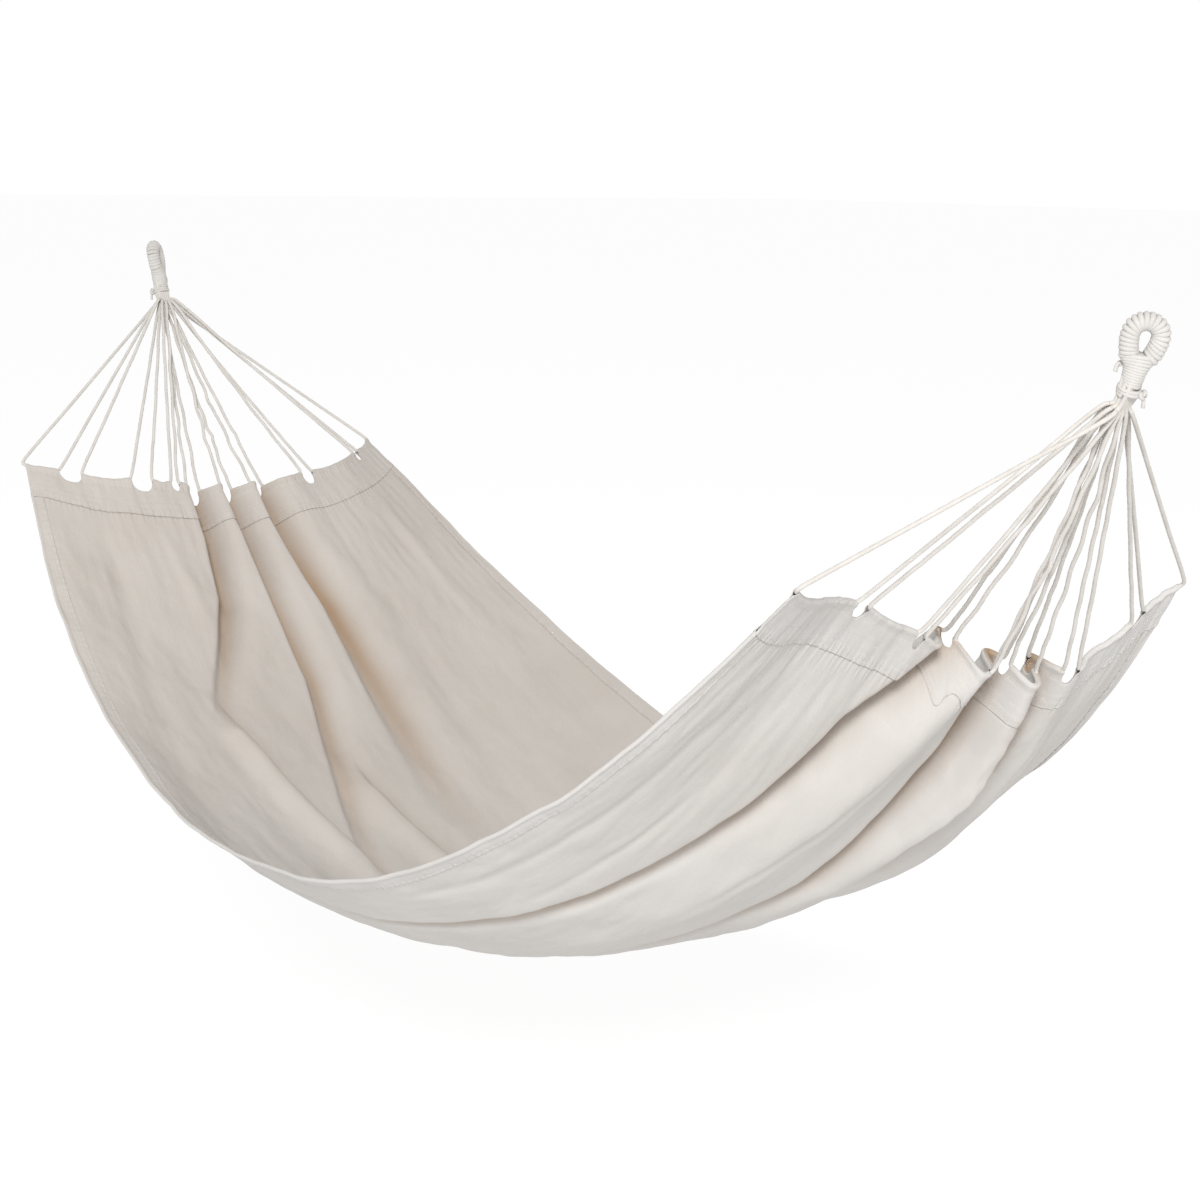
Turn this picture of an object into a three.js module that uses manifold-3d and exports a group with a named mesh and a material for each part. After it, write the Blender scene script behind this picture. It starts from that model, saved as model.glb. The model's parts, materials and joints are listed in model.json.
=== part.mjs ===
// Rope hammock: a cotton canvas bed hung by thin cords from two served rope eyes.
// Millimetres, +Z up, +X from eye A to eye B. The origin is where a hook bears inside eye A.
import * as THREE from "three";
import { mergeVertices } from "three/addons/utils/BufferGeometryUtils.js";
import Module from "manifold-3d";

// ---------------------------------------------------------------- driving dimensions

const HOOK_SPAN = 1960; // between the two bearing points
const HALF_SPAN = HOOK_SPAN / 2;

const EYE = {
  ropeRadius: 10, // over the serving
  coreRadius: 7.3,
  holeWidth: 10,
  lean: THREE.MathUtils.degToRad(16.5), // the eyes lean along the pull of the cords
  turn: THREE.MathUtils.degToRad(45), // the plane of each eye about its own length
  closeDrop: 25, // below the bearing point, where the two sides of the eye meet
  whippingTop: 30,
  whippingBottom: 56.5,
  whippingRadius: 13.5,
  neckRadius: 11.2,
  knotDrop: 72, // centre of the knot, which is also the swing pivot
  knotRadius: 15.2,
};

const CORD = {
  radius: 2.5,
  tunnelRadius: 3.5,
  sides: 8,
  knotGap: 0.4,
  fanAngles: [-50, -30, -10, 10, 30, 50], // six columns of three strands round the knot
  layerAngle: 20,
  bend: 7, // radius of the turn from a strand into its tunnel
  bendShares: [1, 0.67, 0.33], // stations of that turn, from the strand to the mouth of the tunnel
};

// Sag at the middle of the strands of each column.
const SLACK = [0, 3, 8, 9, 4, 0];

const CLOTH = {
  half: 1, // half of the bed's thickness
  sideHem: 0.026, // share of the width taken by each side hem
  sideHemHalf: 2,
  seamGap: 1.5,
};

const HEM = {
  depth: 75, // from the open edge to the seam
  channelMiddle: 12, // from the open edge to the cord tunnel, in the middle of a tab
  channelEnd: 9, // and at its two ends
  channelHalf: 4.2, // half thickness over the tunnel
  flatEnd: 18, // where the thickness over the tunnel ends
  taper: 7,
  plyHalf: 1.5, // half thickness of the two flat plies
  edgeHalf: 2.4,
  notchDepth: 26,
};

// One notch as [share across, share of the depth].
const NOTCH_SHAPE = [
  [0.08, 0.6],
  [0.5, 1],
  [0.92, 0.6],
];

// The bed hangs between two end hems. Near is -Y, far is +Y. Heights are from the bearing points.
// A notch between two tabs is [its middle across, half its width in millimetres].
const LOWEST = { near: -699, far: -758, keel: -890 };
const BELLY = { near: 135, far: 170 };
const SAG_SHIFT = -20; // the lowest line lies this far towards A
const SECTION_ANGLE = 0.86; // half the opening angle of the round cross-section, in radians
const ENDS = {
  a: {
    sign: -1,
    corner: 860,
    middle: 732,
    nearY: -297,
    farY: 324,
    nearZ: -306,
    farZ: -309,
    keelZ: -340,
    lopsided: 0, // share by which the hem hangs deeper on its far half than on its near half
    fullness: { near: 1.57, far: 1.57, keel: 1.57 },
    notches: [
      [0.1, 24],
      [0.255, 23],
      [0.33, 13],
      [0.385, 14],
      [0.462, 17],
      [0.548, 15],
      [0.675, 20],
      [0.89, 15],
    ],
  },
  b: {
    sign: 1,
    corner: 815,
    middle: 745,
    nearY: -298,
    farY: 316,
    nearZ: -243,
    farZ: -306,
    keelZ: -353,
    lopsided: 1.4,
    fullness: { near: 2.2, far: 2.75, keel: 2.35 },
    notches: [
      [0.27, 19],
      [0.43, 13],
      [0.52, 15],
      [0.578, 14],
      [0.636, 14],
      [0.693, 14],
      [0.755, 15],
      [0.91, 17],
    ],
  },
};

// A fold runs along the bed through knots [t, w, depth, width]: t is -1 at hem A and 1 at hem B,
// w is 0 at the near side and 1 at the far side, and a positive depth sinks outwards.
const FOLDS = [
  // three gathers at end A and the two soft ridges that cross the bed from them
  [[-1, 0.385, 32, 0.028], [-0.9, 0.38, 40, 0.024], [-0.79, 0.36, 34, 0.024], [-0.5, 0.23, 0, 0.025]],
  [[-1, 0.465, 32, 0.028], [-0.9, 0.465, 40, 0.024], [-0.64, 0.458, 22, 0.024], [-0.1, 0.34, 0, 0.025]],
  [[-1, 0.548, 34, 0.028], [-0.9, 0.553, 38, 0.026], [-0.77, 0.573, 24, 0.03], [-0.3, 0.56, 0, 0.04]],
  [[-0.6, 0.24, 0, 0.02], [-0.5, 0.25, -18, 0.02], [-0.3, 0.31, -20, 0.024], [0, 0.4, 0, 0.03]],
  [[-0.5, 0.43, 0, 0.02], [-0.42, 0.43, -12, 0.02], [-0.25, 0.47, -12, 0.02], [-0.05, 0.52, 0, 0.02]],
  // two deep creases with a roll between them, and the gathers at end B
  [
    [1, 0.515, -36, 0.027],
    [0.9, 0.41, -46, 0.024],
    [0.75, 0.34, -28, 0.018],
    [0.5, 0.22, -14, 0.016],
    [0.22, 0.13, 0, 0.016],
  ],
  [[1, 0.565, 26, 0.03], [0.9, 0.5, 30, 0.05], [0.7, 0.42, 18, 0.06], [0.1, 0.25, 0, 0.06]],
  [
    [1, 0.615, -28, 0.026],
    [0.9, 0.615, -36, 0.022],
    [0.65, 0.563, -22, 0.018],
    [0.4, 0.45, -10, 0.016],
    [0.2, 0.36, 0, 0.016],
  ],
  [[1, 0.665, 24, 0.026], [0.85, 0.665, 30, 0.035], [0.6, 0.6, 8, 0.04], [0.3, 0.5, 0, 0.05]],
  [[1, 0.705, -26, 0.026], [0.85, 0.715, -24, 0.03], [0.6, 0.68, 0, 0.03]],
  [[1, 0.76, 22, 0.04], [0.82, 0.79, 18, 0.05], [0.4, 0.72, 0, 0.05]],
];

// ---------------------------------------------------------------- cloth surface

const clamp = THREE.MathUtils.clamp;
const lerp = THREE.MathUtils.lerp;

// Height or place of a lengthwise line: it falls from its hem as a power curve to the lowest point.
function lengthwise(t, line) {
  const end = t < 0 ? ENDS.a : ENDS.b;
  const lowest = LOWEST[line];
  return lowest + (end[`${line}Z`] - lowest) * Math.abs(t) ** end.fullness[line];
}

function smoothBed(t, w) {
  const { a, b } = ENDS;
  const s = 2 * w - 1;
  const spread = 1 - t * t;
  const end = t < 0 ? a : b;
  const reach = end.corner + (end.middle - end.corner) * (1 - s * s);
  const nearY = lerp(a.nearY, b.nearY, (t + 1) / 2) - BELLY.near * spread;
  const farY = lerp(a.farY, b.farY, (t + 1) / 2) + BELLY.far * spread;
  const [nearZ, farZ, keelZ] = ["near", "far", "keel"].map((line) => lengthwise(t, line));
  const across = Math.sin(s * SECTION_ANGLE) / Math.sin(SECTION_ANGLE);
  const cosEdge = Math.cos(SECTION_ANGLE);
  const hollow = (Math.cos(s * SECTION_ANGLE) - cosEdge) / (1 - cosEdge);
  const middleZ = (nearZ + farZ) / 2;
  const deeper = 1 + end.lopsided * s * (1 - Math.abs(s) ** 3) * Math.abs(t) ** 3;
  return new THREE.Vector3(
    t * reach + SAG_SHIFT * spread,
    (nearY + farY) / 2 + ((farY - nearY) / 2) * across,
    middleZ + ((farZ - nearZ) / 2) * across + (keelZ - middleZ) * hollow * deeper,
  );
}

function outward(fn, t, w) {
  const step = 0.002;
  const along = fn(t + step, w).sub(fn(t - step, w));
  const over = fn(t, w + step).sub(fn(t, w - step));
  return over.cross(along).normalize(); // points out of the bed, downwards
}

function knotValue(knots, t, column) {
  const last = knots.length - 1;
  const rising = knots[0][0] < knots[last][0] ? knots : [...knots].reverse();
  if (t <= rising[0][0]) return rising[0][column];
  if (t >= rising[last][0]) return rising[last][column];
  const i = rising.findIndex((k) => k[0] > t);
  const share = (t - rising[i - 1][0]) / (rising[i][0] - rising[i - 1][0]);
  return lerp(rising[i - 1][column], rising[i][column], share);
}

function foldDepth(t, w) {
  let depth = 0;
  for (const knots of FOLDS) {
    const beside = (w - knotValue(knots, t, 1)) / knotValue(knots, t, 3);
    depth += knotValue(knots, t, 2) * Math.exp(-beside * beside);
  }
  return depth;
}

function bed(t, w) {
  return smoothBed(t, w).addScaledVector(outward(smoothBed, t, w), foldDepth(t, w));
}

// A point on a hem: w across, and the distance from the open edge (negative is beyond the edge).
function hemPoint(end, w, fromEdge, lift = 0) {
  const step = 0.01;
  const length = bed(end.sign, w).distanceTo(bed(end.sign * (1 - step), w)) / step;
  const t = end.sign * (1 - fromEdge / length);
  const p = bed(t, w);
  return lift ? p.addScaledVector(outward(bed, t, w), lift) : p;
}

// How far w moves for one millimetre along a hem.
function hemStep(end, w) {
  const step = 0.001;
  const before = hemPoint(end, w - step, HEM.channelEnd);
  const after = hemPoint(end, w + step, HEM.channelEnd);
  return (2 * step) / before.distanceTo(after);
}

// ---------------------------------------------------------------- solids

const wasm = await Module();
wasm.setup();

function toManifold(geometry) {
  const bare = geometry.clone();
  bare.deleteAttribute("normal");
  bare.deleteAttribute("uv");
  const merged = mergeVertices(bare, 1e-4);
  return new wasm.Manifold(
    new wasm.Mesh({
      numProp: 3,
      vertProperties: merged.attributes.position.array,
      triVerts: new Uint32Array(merged.index.array),
    }),
  );
}

function fromManifold(solid) {
  const { numProp, numVert, vertProperties, triVerts } = solid.getMesh();
  const position = new Float32Array(numVert * 3);
  for (let i = 0; i < numVert; i++) {
    position.set(vertProperties.subarray(i * numProp, i * numProp + 3), i * 3);
  }
  const geometry = new THREE.BufferGeometry();
  geometry.setAttribute("position", new THREE.BufferAttribute(position, 3));
  geometry.setIndex(new THREE.BufferAttribute(triVerts, 1));
  return geometry;
}

// A closed plate between two grids of points that face each other: outer[i][j] and inner[i][j].
function plate(outer, inner) {
  const rows = outer.length;
  const columns = outer[0].length;
  const position = [outer, inner].flatMap((g) => g.flatMap((row) => row.flatMap((p) => p.toArray())));
  const at = (side, i, j) => side * rows * columns + i * columns + j;
  const index = [];
  const quad = (a, b, c, d) => index.push(a, b, c, a, c, d);
  for (let i = 0; i < rows - 1; i++) {
    for (let j = 0; j < columns - 1; j++) {
      quad(at(0, i, j), at(0, i, j + 1), at(0, i + 1, j + 1), at(0, i + 1, j));
      quad(at(1, i, j), at(1, i + 1, j), at(1, i + 1, j + 1), at(1, i, j + 1));
    }
  }
  for (let i = 0; i < rows - 1; i++) {
    quad(at(0, i, 0), at(0, i + 1, 0), at(1, i + 1, 0), at(1, i, 0));
    quad(at(0, i, columns - 1), at(1, i, columns - 1), at(1, i + 1, columns - 1), at(0, i + 1, columns - 1));
  }
  for (let j = 0; j < columns - 1; j++) {
    quad(at(0, 0, j), at(1, 0, j), at(1, 0, j + 1), at(0, 0, j + 1));
    quad(at(0, rows - 1, j), at(0, rows - 1, j + 1), at(1, rows - 1, j + 1), at(1, rows - 1, j));
  }
  const geometry = new THREE.BufferGeometry();
  geometry.setAttribute("position", new THREE.Float32BufferAttribute(position, 3));
  geometry.setIndex(index);
  return geometry;
}

// A curve through given stations, evenly spaced by station and not by length.
class Route extends THREE.Curve {
  constructor(points) {
    super();
    this.spline = new THREE.CatmullRomCurve3(points, false, "centripetal");
  }
  getPoint(t) {
    return this.spline.getPoint(t);
  }
  getPointAt(u) {
    return this.spline.getPoint(u);
  }
  getTangentAt(u) {
    return this.spline.getTangent(u);
  }
  getSpacedPoints(divisions) {
    return this.spline.getPoints(divisions);
  }
}

function disc(radius, sides, holeRadius = 0) {
  const ring = (r) =>
    Array.from({ length: sides }, (_, i) => {
      const angle = ((i + 0.5) * 2 * Math.PI) / sides;
      return new THREE.Vector2(r * Math.cos(angle), r * Math.sin(angle));
    });
  const shape = new THREE.Shape(ring(radius));
  if (holeRadius) shape.holes.push(new THREE.Path(ring(holeRadius).reverse()));
  return shape;
}

// A tube with one ring of vertices at each given point.
function tube(points, section) {
  return new THREE.ExtrudeGeometry(section, {
    steps: points.length - 1,
    extrudePath: new Route(points),
    bevelEnabled: false,
    curveSegments: 1,
  });
}

// ---------------------------------------------------------------- assembly

const hammock = new THREE.Group();
hammock.name = "rope_hammock";
const middle = new THREE.Group(); // the bed is drawn about mid span
middle.position.x = HALF_SPAN;
hammock.add(middle);

function finish(color, roughness) {
  return new THREE.MeshStandardMaterial({ color, roughness, metalness: 0 });
}

function add(parent, name, geometry, color, roughness) {
  const mesh = new THREE.Mesh(geometry, finish(color, roughness));
  mesh.name = name;
  parent.add(mesh);
  return mesh;
}

const CANVAS_COLOR = 0xe3dccf;
const HEM_COLOR = 0xe9e5dd;
const CORD_COLOR = 0xece6da;
const SERVING_COLOR = 0xefeae0;

// ---------------------------------------------------------------- bed

function range(count, from, to) {
  return Array.from({ length: count + 1 }, (_, i) => lerp(from, to, i / count));
}

const BED_ROWS = [0, 0.06, 0.16, 0.3, 0.43, 0.56, 0.7, 0.84, 0.94, 1];

// Share 0 is the seam of hem A and share 1 the seam of hem B.
function bedT(share, w) {
  const seam = HEM.depth + CLOTH.seamGap;
  const reachAt = (end) => {
    const step = 0.01;
    const length = bed(end.sign, w).distanceTo(bed(end.sign * (1 - step), w)) / step;
    return end.sign * (1 - seam / length);
  };
  return lerp(reachAt(ENDS.a), reachAt(ENDS.b), share);
}

// Cloth between pairs of places across: w at hem A and w at hem B.
function strip(pairs, half) {
  const side = (lift) =>
    BED_ROWS.map((share) =>
      pairs.map(([wA, wB]) => {
        const w = lerp(wA, wB, share);
        const t = bedT(share, w);
        return bed(t, w).addScaledVector(outward(bed, t, w), lift);
      }),
    );
  return plate(side(half), side(-half));
}

// ---------------------------------------------------------------- end hems

// Half thickness of a hem at a distance from its open edge: thick over the tunnel, then two plies.
function hemHalf(fromEdge) {
  const share = clamp((fromEdge - HEM.flatEnd) / HEM.taper, 0, 1);
  return lerp(HEM.channelHalf, HEM.plyHalf, share);
}

// Columns of a hem as [w, depth of the notch there]: rounded notches between the tabs.
function hemColumns(end) {
  const columns = [];
  for (let k = 0; k < tabCount(end); k++) {
    const tab = tabSpan(end, k);
    const inner = (tab.from + tab.to) / 2;
    columns.push([tab.from, 0], [inner, 0], [tab.to, 0]);
    if (k === end.notches.length) break;
    const next = tabSpan(end, k + 1);
    for (const [across, depth] of NOTCH_SHAPE) {
      columns.push([lerp(tab.to, next.from, across), HEM.notchDepth * depth]);
    }
  }
  columns.splice(1, 0, [CLOTH.sideHem, 0]);
  columns.splice(-1, 0, [1 - CLOTH.sideHem, 0]);
  return columns;
}

// Stations of one hem column from its open edge to its seam, as [distance, half thickness].
function hemRows(notch) {
  const rows = [
    [notch, Math.min(HEM.edgeHalf, hemHalf(notch))],
    [notch + 2.5, hemHalf(notch + 2.5)],
  ];
  const inner = Math.max(HEM.flatEnd, notch + 5);
  rows.push([inner, hemHalf(inner)], [inner + 7, HEM.plyHalf], [HEM.depth, HEM.plyHalf]);
  return rows;
}

function tabCount(end) {
  return end.notches.length + 1;
}

// Where a tab starts and ends across the hem, with the width of one millimetre at both places.
function tabSpan(end, k) {
  const [before, beforeHalf] = k === 0 ? [0, 0] : end.notches[k - 1];
  const [after, afterHalf] = k === end.notches.length ? [1, 0] : end.notches[k];
  const fromStep = hemStep(end, before);
  const toStep = hemStep(end, after);
  return { from: before + beforeHalf * fromStep, to: after - afterHalf * toStep, fromStep, toStep };
}

// Centre of a neck knot, below its leaning eye.
function knotPlace(end) {
  const alongX = HALF_SPAN - EYE.knotDrop * Math.sin(EYE.lean);
  return new THREE.Vector3(end.sign * alongX, 0, -EYE.knotDrop * Math.cos(EYE.lean));
}

// The round turn at one end of a tab, between the pull towards the knot and the tunnel.
function tabTurn(end, w, outwardStep) {
  const mouth = hemPoint(end, w, HEM.channelEnd);
  const out = hemPoint(end, w + outwardStep, HEM.channelEnd).sub(mouth).normalize();
  const pull = knotPlace(end).sub(mouth).normalize();
  const across = pull.clone().addScaledVector(out, -pull.dot(out)).normalize();
  const fullTurn = Math.acos(pull.dot(out));
  return CORD.bendShares.map((share) => {
    const angle = share * fullTurn;
    return mouth
      .clone()
      .addScaledVector(across, CORD.bend * (1 - Math.cos(angle)))
      .addScaledVector(out, CORD.bend * Math.sin(angle));
  });
}

// The cord's line through a tab and round its two ends, in order from the near side.
function tabRoute(end, k) {
  const { from, to, fromStep, toStep } = tabSpan(end, k);
  const tunnel = range(3, 0, 1).map((share) => {
    const rise = (2 * share - 1) ** 2;
    return hemPoint(end, lerp(from, to, share), lerp(HEM.channelMiddle, HEM.channelEnd, rise));
  });
  return [...tabTurn(end, from, -fromStep), ...tunnel, ...tabTurn(end, to, toStep).reverse()];
}

function hemGeometry(end) {
  const columns = hemColumns(end);
  const column = (lift, w, notch) =>
    hemRows(notch).map(([fromEdge, half]) => hemPoint(end, w, fromEdge, lift * half));
  const side = (lift) => columns.map(([w, notch]) => column(lift, w, notch));
  let solid = toManifold(plate(side(end.sign), side(-end.sign)));
  for (let k = 0; k < tabCount(end); k++) {
    solid = solid.subtract(toManifold(tube(tabRoute(end, k), disc(CORD.tunnelRadius, 6))));
  }
  return fromManifold(solid);
}

// The bed's columns run from the columns of one hem to those of the other.
const SIDE_GAP = 0.0008; // share of the width, a little under a millimetre
const acrossA = hemColumns(ENDS.a).map(([w]) => w);
const acrossB = hemColumns(ENDS.b).map(([w]) => w);
const bedPairs = acrossA.map((w, j) => [w, acrossB[j]]).slice(1, -1);
const nearPairs = [0, CLOTH.sideHem - SIDE_GAP].map((w) => [w, w]);
const farPairs = nearPairs.map(([w]) => [1 - w, 1 - w]).reverse();
add(middle, "canvas_bed", strip(bedPairs, CLOTH.half), CANVAS_COLOR, 0.95);
add(middle, "side_hem_near", strip(nearPairs, CLOTH.sideHemHalf), HEM_COLOR, 0.95);
add(middle, "side_hem_far", strip(farPairs, CLOTH.sideHemHalf), HEM_COLOR, 0.95);

for (const [letter, end] of Object.entries(ENDS)) {
  add(middle, `end_hem_${letter}`, hemGeometry(end), HEM_COLOR, 0.95);
}

// ---------------------------------------------------------------- rope eyes

function eyeFrame(end) {
  const group = new THREE.Group();
  group.position.set(end.sign * HALF_SPAN, 0, 0);
  group.rotation.set(0, end.sign * EYE.lean, 0);
  const turned = new THREE.Group();
  turned.rotation.z = end.sign * EYE.turn;
  group.add(turned);
  middle.add(group);
  return turned;
}

// Centre line of the eye: two legs that meet in the neck, and a round crown over the bearing point.
function eyeLine(legs) {
  const crown = EYE.holeWidth / 2 + EYE.ropeRadius;
  const centreZ = EYE.ropeRadius - crown;
  const onArc = (angle) => [crown * Math.cos(angle), centreZ + crown * Math.sin(angle)];
  const arc = range(8, 0, Math.PI).map(onArc);
  const mirrored = legs.map(([x, z]) => [-x, z]).reverse();
  return [...legs, ...arc, ...mirrored].map(([x, z]) => new THREE.Vector3(x, 0, z));
}

// Stations of a leg as [sideways, height]; the serving covers the last two.
const LEG = [
  [3.4, -EYE.whippingTop - 14],
  [3.7, -EYE.whippingTop - 3],
  [10.4, -EYE.closeDrop],
  [13.6, -EYE.closeDrop / 2 - 3],
];

function eyeCore() {
  const loop = tube(eyeLine(LEG), disc(EYE.coreRadius, 8));
  const neck = new THREE.LatheGeometry(
    [
      new THREE.Vector2(0, -EYE.whippingBottom),
      new THREE.Vector2(EYE.neckRadius, -EYE.whippingBottom),
      new THREE.Vector2(EYE.neckRadius, -EYE.whippingTop - 8),
      new THREE.Vector2(0, -EYE.whippingTop - 2),
    ],
    12,
  ).rotateX(Math.PI / 2);
  return fromManifold(toManifold(loop).add(toManifold(neck)));
}

function eyeServing() {
  return tube(eyeLine(LEG.slice(2)), disc(EYE.ropeRadius, 8, EYE.coreRadius + 0.5));
}

function whipping() {
  const inner = EYE.neckRadius + 0.4;
  const outer = EYE.whippingRadius;
  const top = -EYE.whippingTop - 6;
  const bottom = -EYE.whippingBottom + 0.4;
  return new THREE.LatheGeometry(
    [
      new THREE.Vector2(inner, bottom),
      new THREE.Vector2(outer, bottom),
      new THREE.Vector2(outer, top - 1),
      new THREE.Vector2(inner + 0.8, top + 1),
      new THREE.Vector2(inner, top),
      new THREE.Vector2(inner, bottom),
    ],
    16,
  ).rotateX(Math.PI / 2);
}

function knotGeometry() {
  return new THREE.SphereGeometry(EYE.knotRadius, 12, 8).rotateX(Math.PI / 2).translate(0, 0, -EYE.knotDrop);
}

for (const [letter, end] of Object.entries(ENDS)) {
  const turned = eyeFrame(end);
  add(turned, `eye_core_${letter}`, eyeCore(), CORD_COLOR, 0.9);
  add(turned, `eye_serving_${letter}`, eyeServing(), SERVING_COLOR, 0.9);
  add(turned, `neck_whipping_${letter}`, whipping(), SERVING_COLOR, 0.9);
  add(turned, `neck_knot_${letter}`, knotGeometry(), CORD_COLOR, 0.9);
}

// ---------------------------------------------------------------- suspension cords

// The directions in which a bundle spreads from its knot.
function bundleAxes(end, knot) {
  const down = hemPoint(end, 0.5, 0).sub(knot).setY(0).normalize();
  const sideways = new THREE.Vector3(0, 1, 0);
  return { down, sideways, offPlane: down.clone().cross(sideways) };
}

// Each strand's place in the knot: columns in the order of the feet from near to far, and three
// layers in a column in the order of the feet from one face of the bed to the other.
function knotPlaces(end, knot) {
  const { down, sideways, offPlane } = bundleAxes(end, knot);
  const strands = range(2 * tabCount(end) - 1, 0, 2 * tabCount(end) - 1).map((i) => {
    const tab = tabRoute(end, Math.floor(i / 2));
    const foot = (i % 2 ? tab[tab.length - 1] : tab[0]).clone().sub(knot);
    const depth = foot.dot(down);
    return { i, fan: foot.dot(sideways) / depth, layer: foot.dot(offPlane) / depth };
  });
  strands.sort((p, q) => p.fan - q.fan);
  const places = [];
  CORD.fanAngles.forEach((fanAngle, column) => {
    const trio = strands.slice(3 * column, 3 * column + 3).sort((p, q) => p.layer - q.layer);
    trio.forEach(({ i }, row) => {
      const fan = THREE.MathUtils.degToRad(fanAngle);
      const layer = THREE.MathUtils.degToRad((row - 1) * CORD.layerAngle);
      const direction = new THREE.Vector3()
        .addScaledVector(down, Math.cos(fan) * Math.cos(layer))
        .addScaledVector(sideways, Math.sin(fan) * Math.cos(layer))
        .addScaledVector(offPlane, Math.sin(layer));
      places[i] = { direction, slack: SLACK[column] };
    });
  });
  return places;
}

// One strand from the knot to the point where it turns into its tab: straight off the knot, then slack.
function strand(knot, { direction, slack }, foot) {
  const at = (distance) => knot.clone().addScaledVector(direction, distance);
  const free = at(EYE.knotRadius + 6);
  const run = [0.33, 0.66].map((share) => {
    const p = free.clone().lerp(foot, share);
    p.z -= 4 * share * (1 - share) * slack;
    return p;
  });
  return [at(EYE.knotRadius + CORD.knotGap), free, ...run];
}

function cordRoute(end, knot, places, k) {
  const tab = tabRoute(end, k);
  const down = strand(knot, places[2 * k], tab[0]);
  const up = strand(knot, places[2 * k + 1], tab[tab.length - 1]).reverse();
  return [...down, ...tab, ...up];
}

for (const [letter, end] of Object.entries(ENDS)) {
  const knot = knotPlace(end);
  const places = knotPlaces(end, knot);
  for (let k = 0; k < tabCount(end); k++) {
    const geometry = tube(cordRoute(end, knot, places, k), disc(CORD.radius, CORD.sides));
    add(middle, `suspension_cord_${letter}${k + 1}`, geometry, CORD_COLOR, 0.9);
  }
}

export default hammock;
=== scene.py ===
import json
from math import acos, cos, pi, radians, sin, sqrt, tau

import bpy
import numpy as np
from mathutils import Matrix, Vector


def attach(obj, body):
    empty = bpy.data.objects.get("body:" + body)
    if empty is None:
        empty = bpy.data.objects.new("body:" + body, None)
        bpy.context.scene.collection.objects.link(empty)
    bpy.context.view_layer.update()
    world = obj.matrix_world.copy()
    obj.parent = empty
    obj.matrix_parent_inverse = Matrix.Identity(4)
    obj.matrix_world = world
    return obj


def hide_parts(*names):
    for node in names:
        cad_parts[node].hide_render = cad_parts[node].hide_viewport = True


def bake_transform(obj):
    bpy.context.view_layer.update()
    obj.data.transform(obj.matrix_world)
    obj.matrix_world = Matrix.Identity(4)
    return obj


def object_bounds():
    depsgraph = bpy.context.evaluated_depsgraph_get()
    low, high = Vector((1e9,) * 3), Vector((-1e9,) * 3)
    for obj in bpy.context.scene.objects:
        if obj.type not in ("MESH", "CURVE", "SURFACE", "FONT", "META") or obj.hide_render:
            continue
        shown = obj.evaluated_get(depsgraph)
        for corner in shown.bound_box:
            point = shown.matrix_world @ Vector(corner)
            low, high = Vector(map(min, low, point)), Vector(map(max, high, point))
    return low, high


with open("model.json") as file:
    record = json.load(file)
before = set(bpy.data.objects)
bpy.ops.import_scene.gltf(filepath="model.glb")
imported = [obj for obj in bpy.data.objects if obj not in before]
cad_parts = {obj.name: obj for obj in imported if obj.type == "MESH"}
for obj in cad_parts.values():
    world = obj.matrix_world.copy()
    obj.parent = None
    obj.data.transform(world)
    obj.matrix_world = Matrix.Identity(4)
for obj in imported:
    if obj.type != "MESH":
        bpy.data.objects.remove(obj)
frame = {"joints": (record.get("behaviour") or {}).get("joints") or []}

cad_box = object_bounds()
SCENE = bpy.context.scene

# ---------- dimensions, as in the CAD

HALF_SPAN = 0.98
JOINTS = {joint["name"]: joint for joint in frame["joints"]}
KNOTS = {letter: np.array(JOINTS[f"swing_{letter}"]["pos_m"]) for letter in "ab"}

EYE = {
    "rope_radius": 0.01,
    "core_radius": 0.0073,
    "hole_width": 0.01,
    "lean": radians(16.5),
    "turn": radians(45),
    "whipping_bottom": 0.0565,
    "knot_radius": 0.0152,
}
# Stations of a leg of the eye from the neck up, as (sideways, height).
LEG = [(0.0034, -0.044), (0.0037, -0.033), (0.0104, -0.025), (0.0136, -0.0155)]

CORD = {
    "radius": 0.0025,
    "knot_gap": 0.0004,
    "fan_angles": [-50, -30, -10, 10, 30, 50],
    "layer_angle": 20,
    "bend": 0.007,  # radius of the turn from a strand into its tunnel
    "bend_shares": [1, 0.67, 0.33],
}
SLACK = [0.0, 0.003, 0.008, 0.009, 0.004, 0.0]

SIDE_HEM = 0.026  # share of the width
HEM = {
    "depth": 0.075,
    "channel_middle": 0.012,
    "channel_end": 0.009,
    "notch_depth": 0.026,
}

LOWEST = {"near": -0.699, "far": -0.758, "keel": -0.89}
BELLY = {"near": -0.135, "far": 0.17}
SAG_SHIFT = -0.02
SECTION_ANGLE = 0.86
ENDS = {
    "a": {
        "sign": -1, "corner": 0.86, "middle": 0.732, "near_y": -0.297, "far_y": 0.324,
        "near_z": -0.306, "far_z": -0.309, "keel_z": -0.34, "lopsided": 0,
        "near_fullness": 1.57, "far_fullness": 1.57, "keel_fullness": 1.57,
        "notches": [0.1, 0.255, 0.33, 0.385, 0.462, 0.548, 0.675, 0.89],
        "notch_halves": [0.024, 0.023, 0.013, 0.014, 0.017, 0.015, 0.02, 0.015],
    },
    "b": {
        "sign": 1, "corner": 0.815, "middle": 0.745, "near_y": -0.298, "far_y": 0.316,
        "near_z": -0.243, "far_z": -0.306, "keel_z": -0.353, "lopsided": 1.4,
        "near_fullness": 2.2, "far_fullness": 2.75, "keel_fullness": 2.35,
        "notches": [0.27, 0.43, 0.52, 0.578, 0.636, 0.693, 0.755, 0.91],
        "notch_halves": [0.019, 0.013, 0.015, 0.014, 0.014, 0.014, 0.015, 0.017],
    },
}

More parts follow.
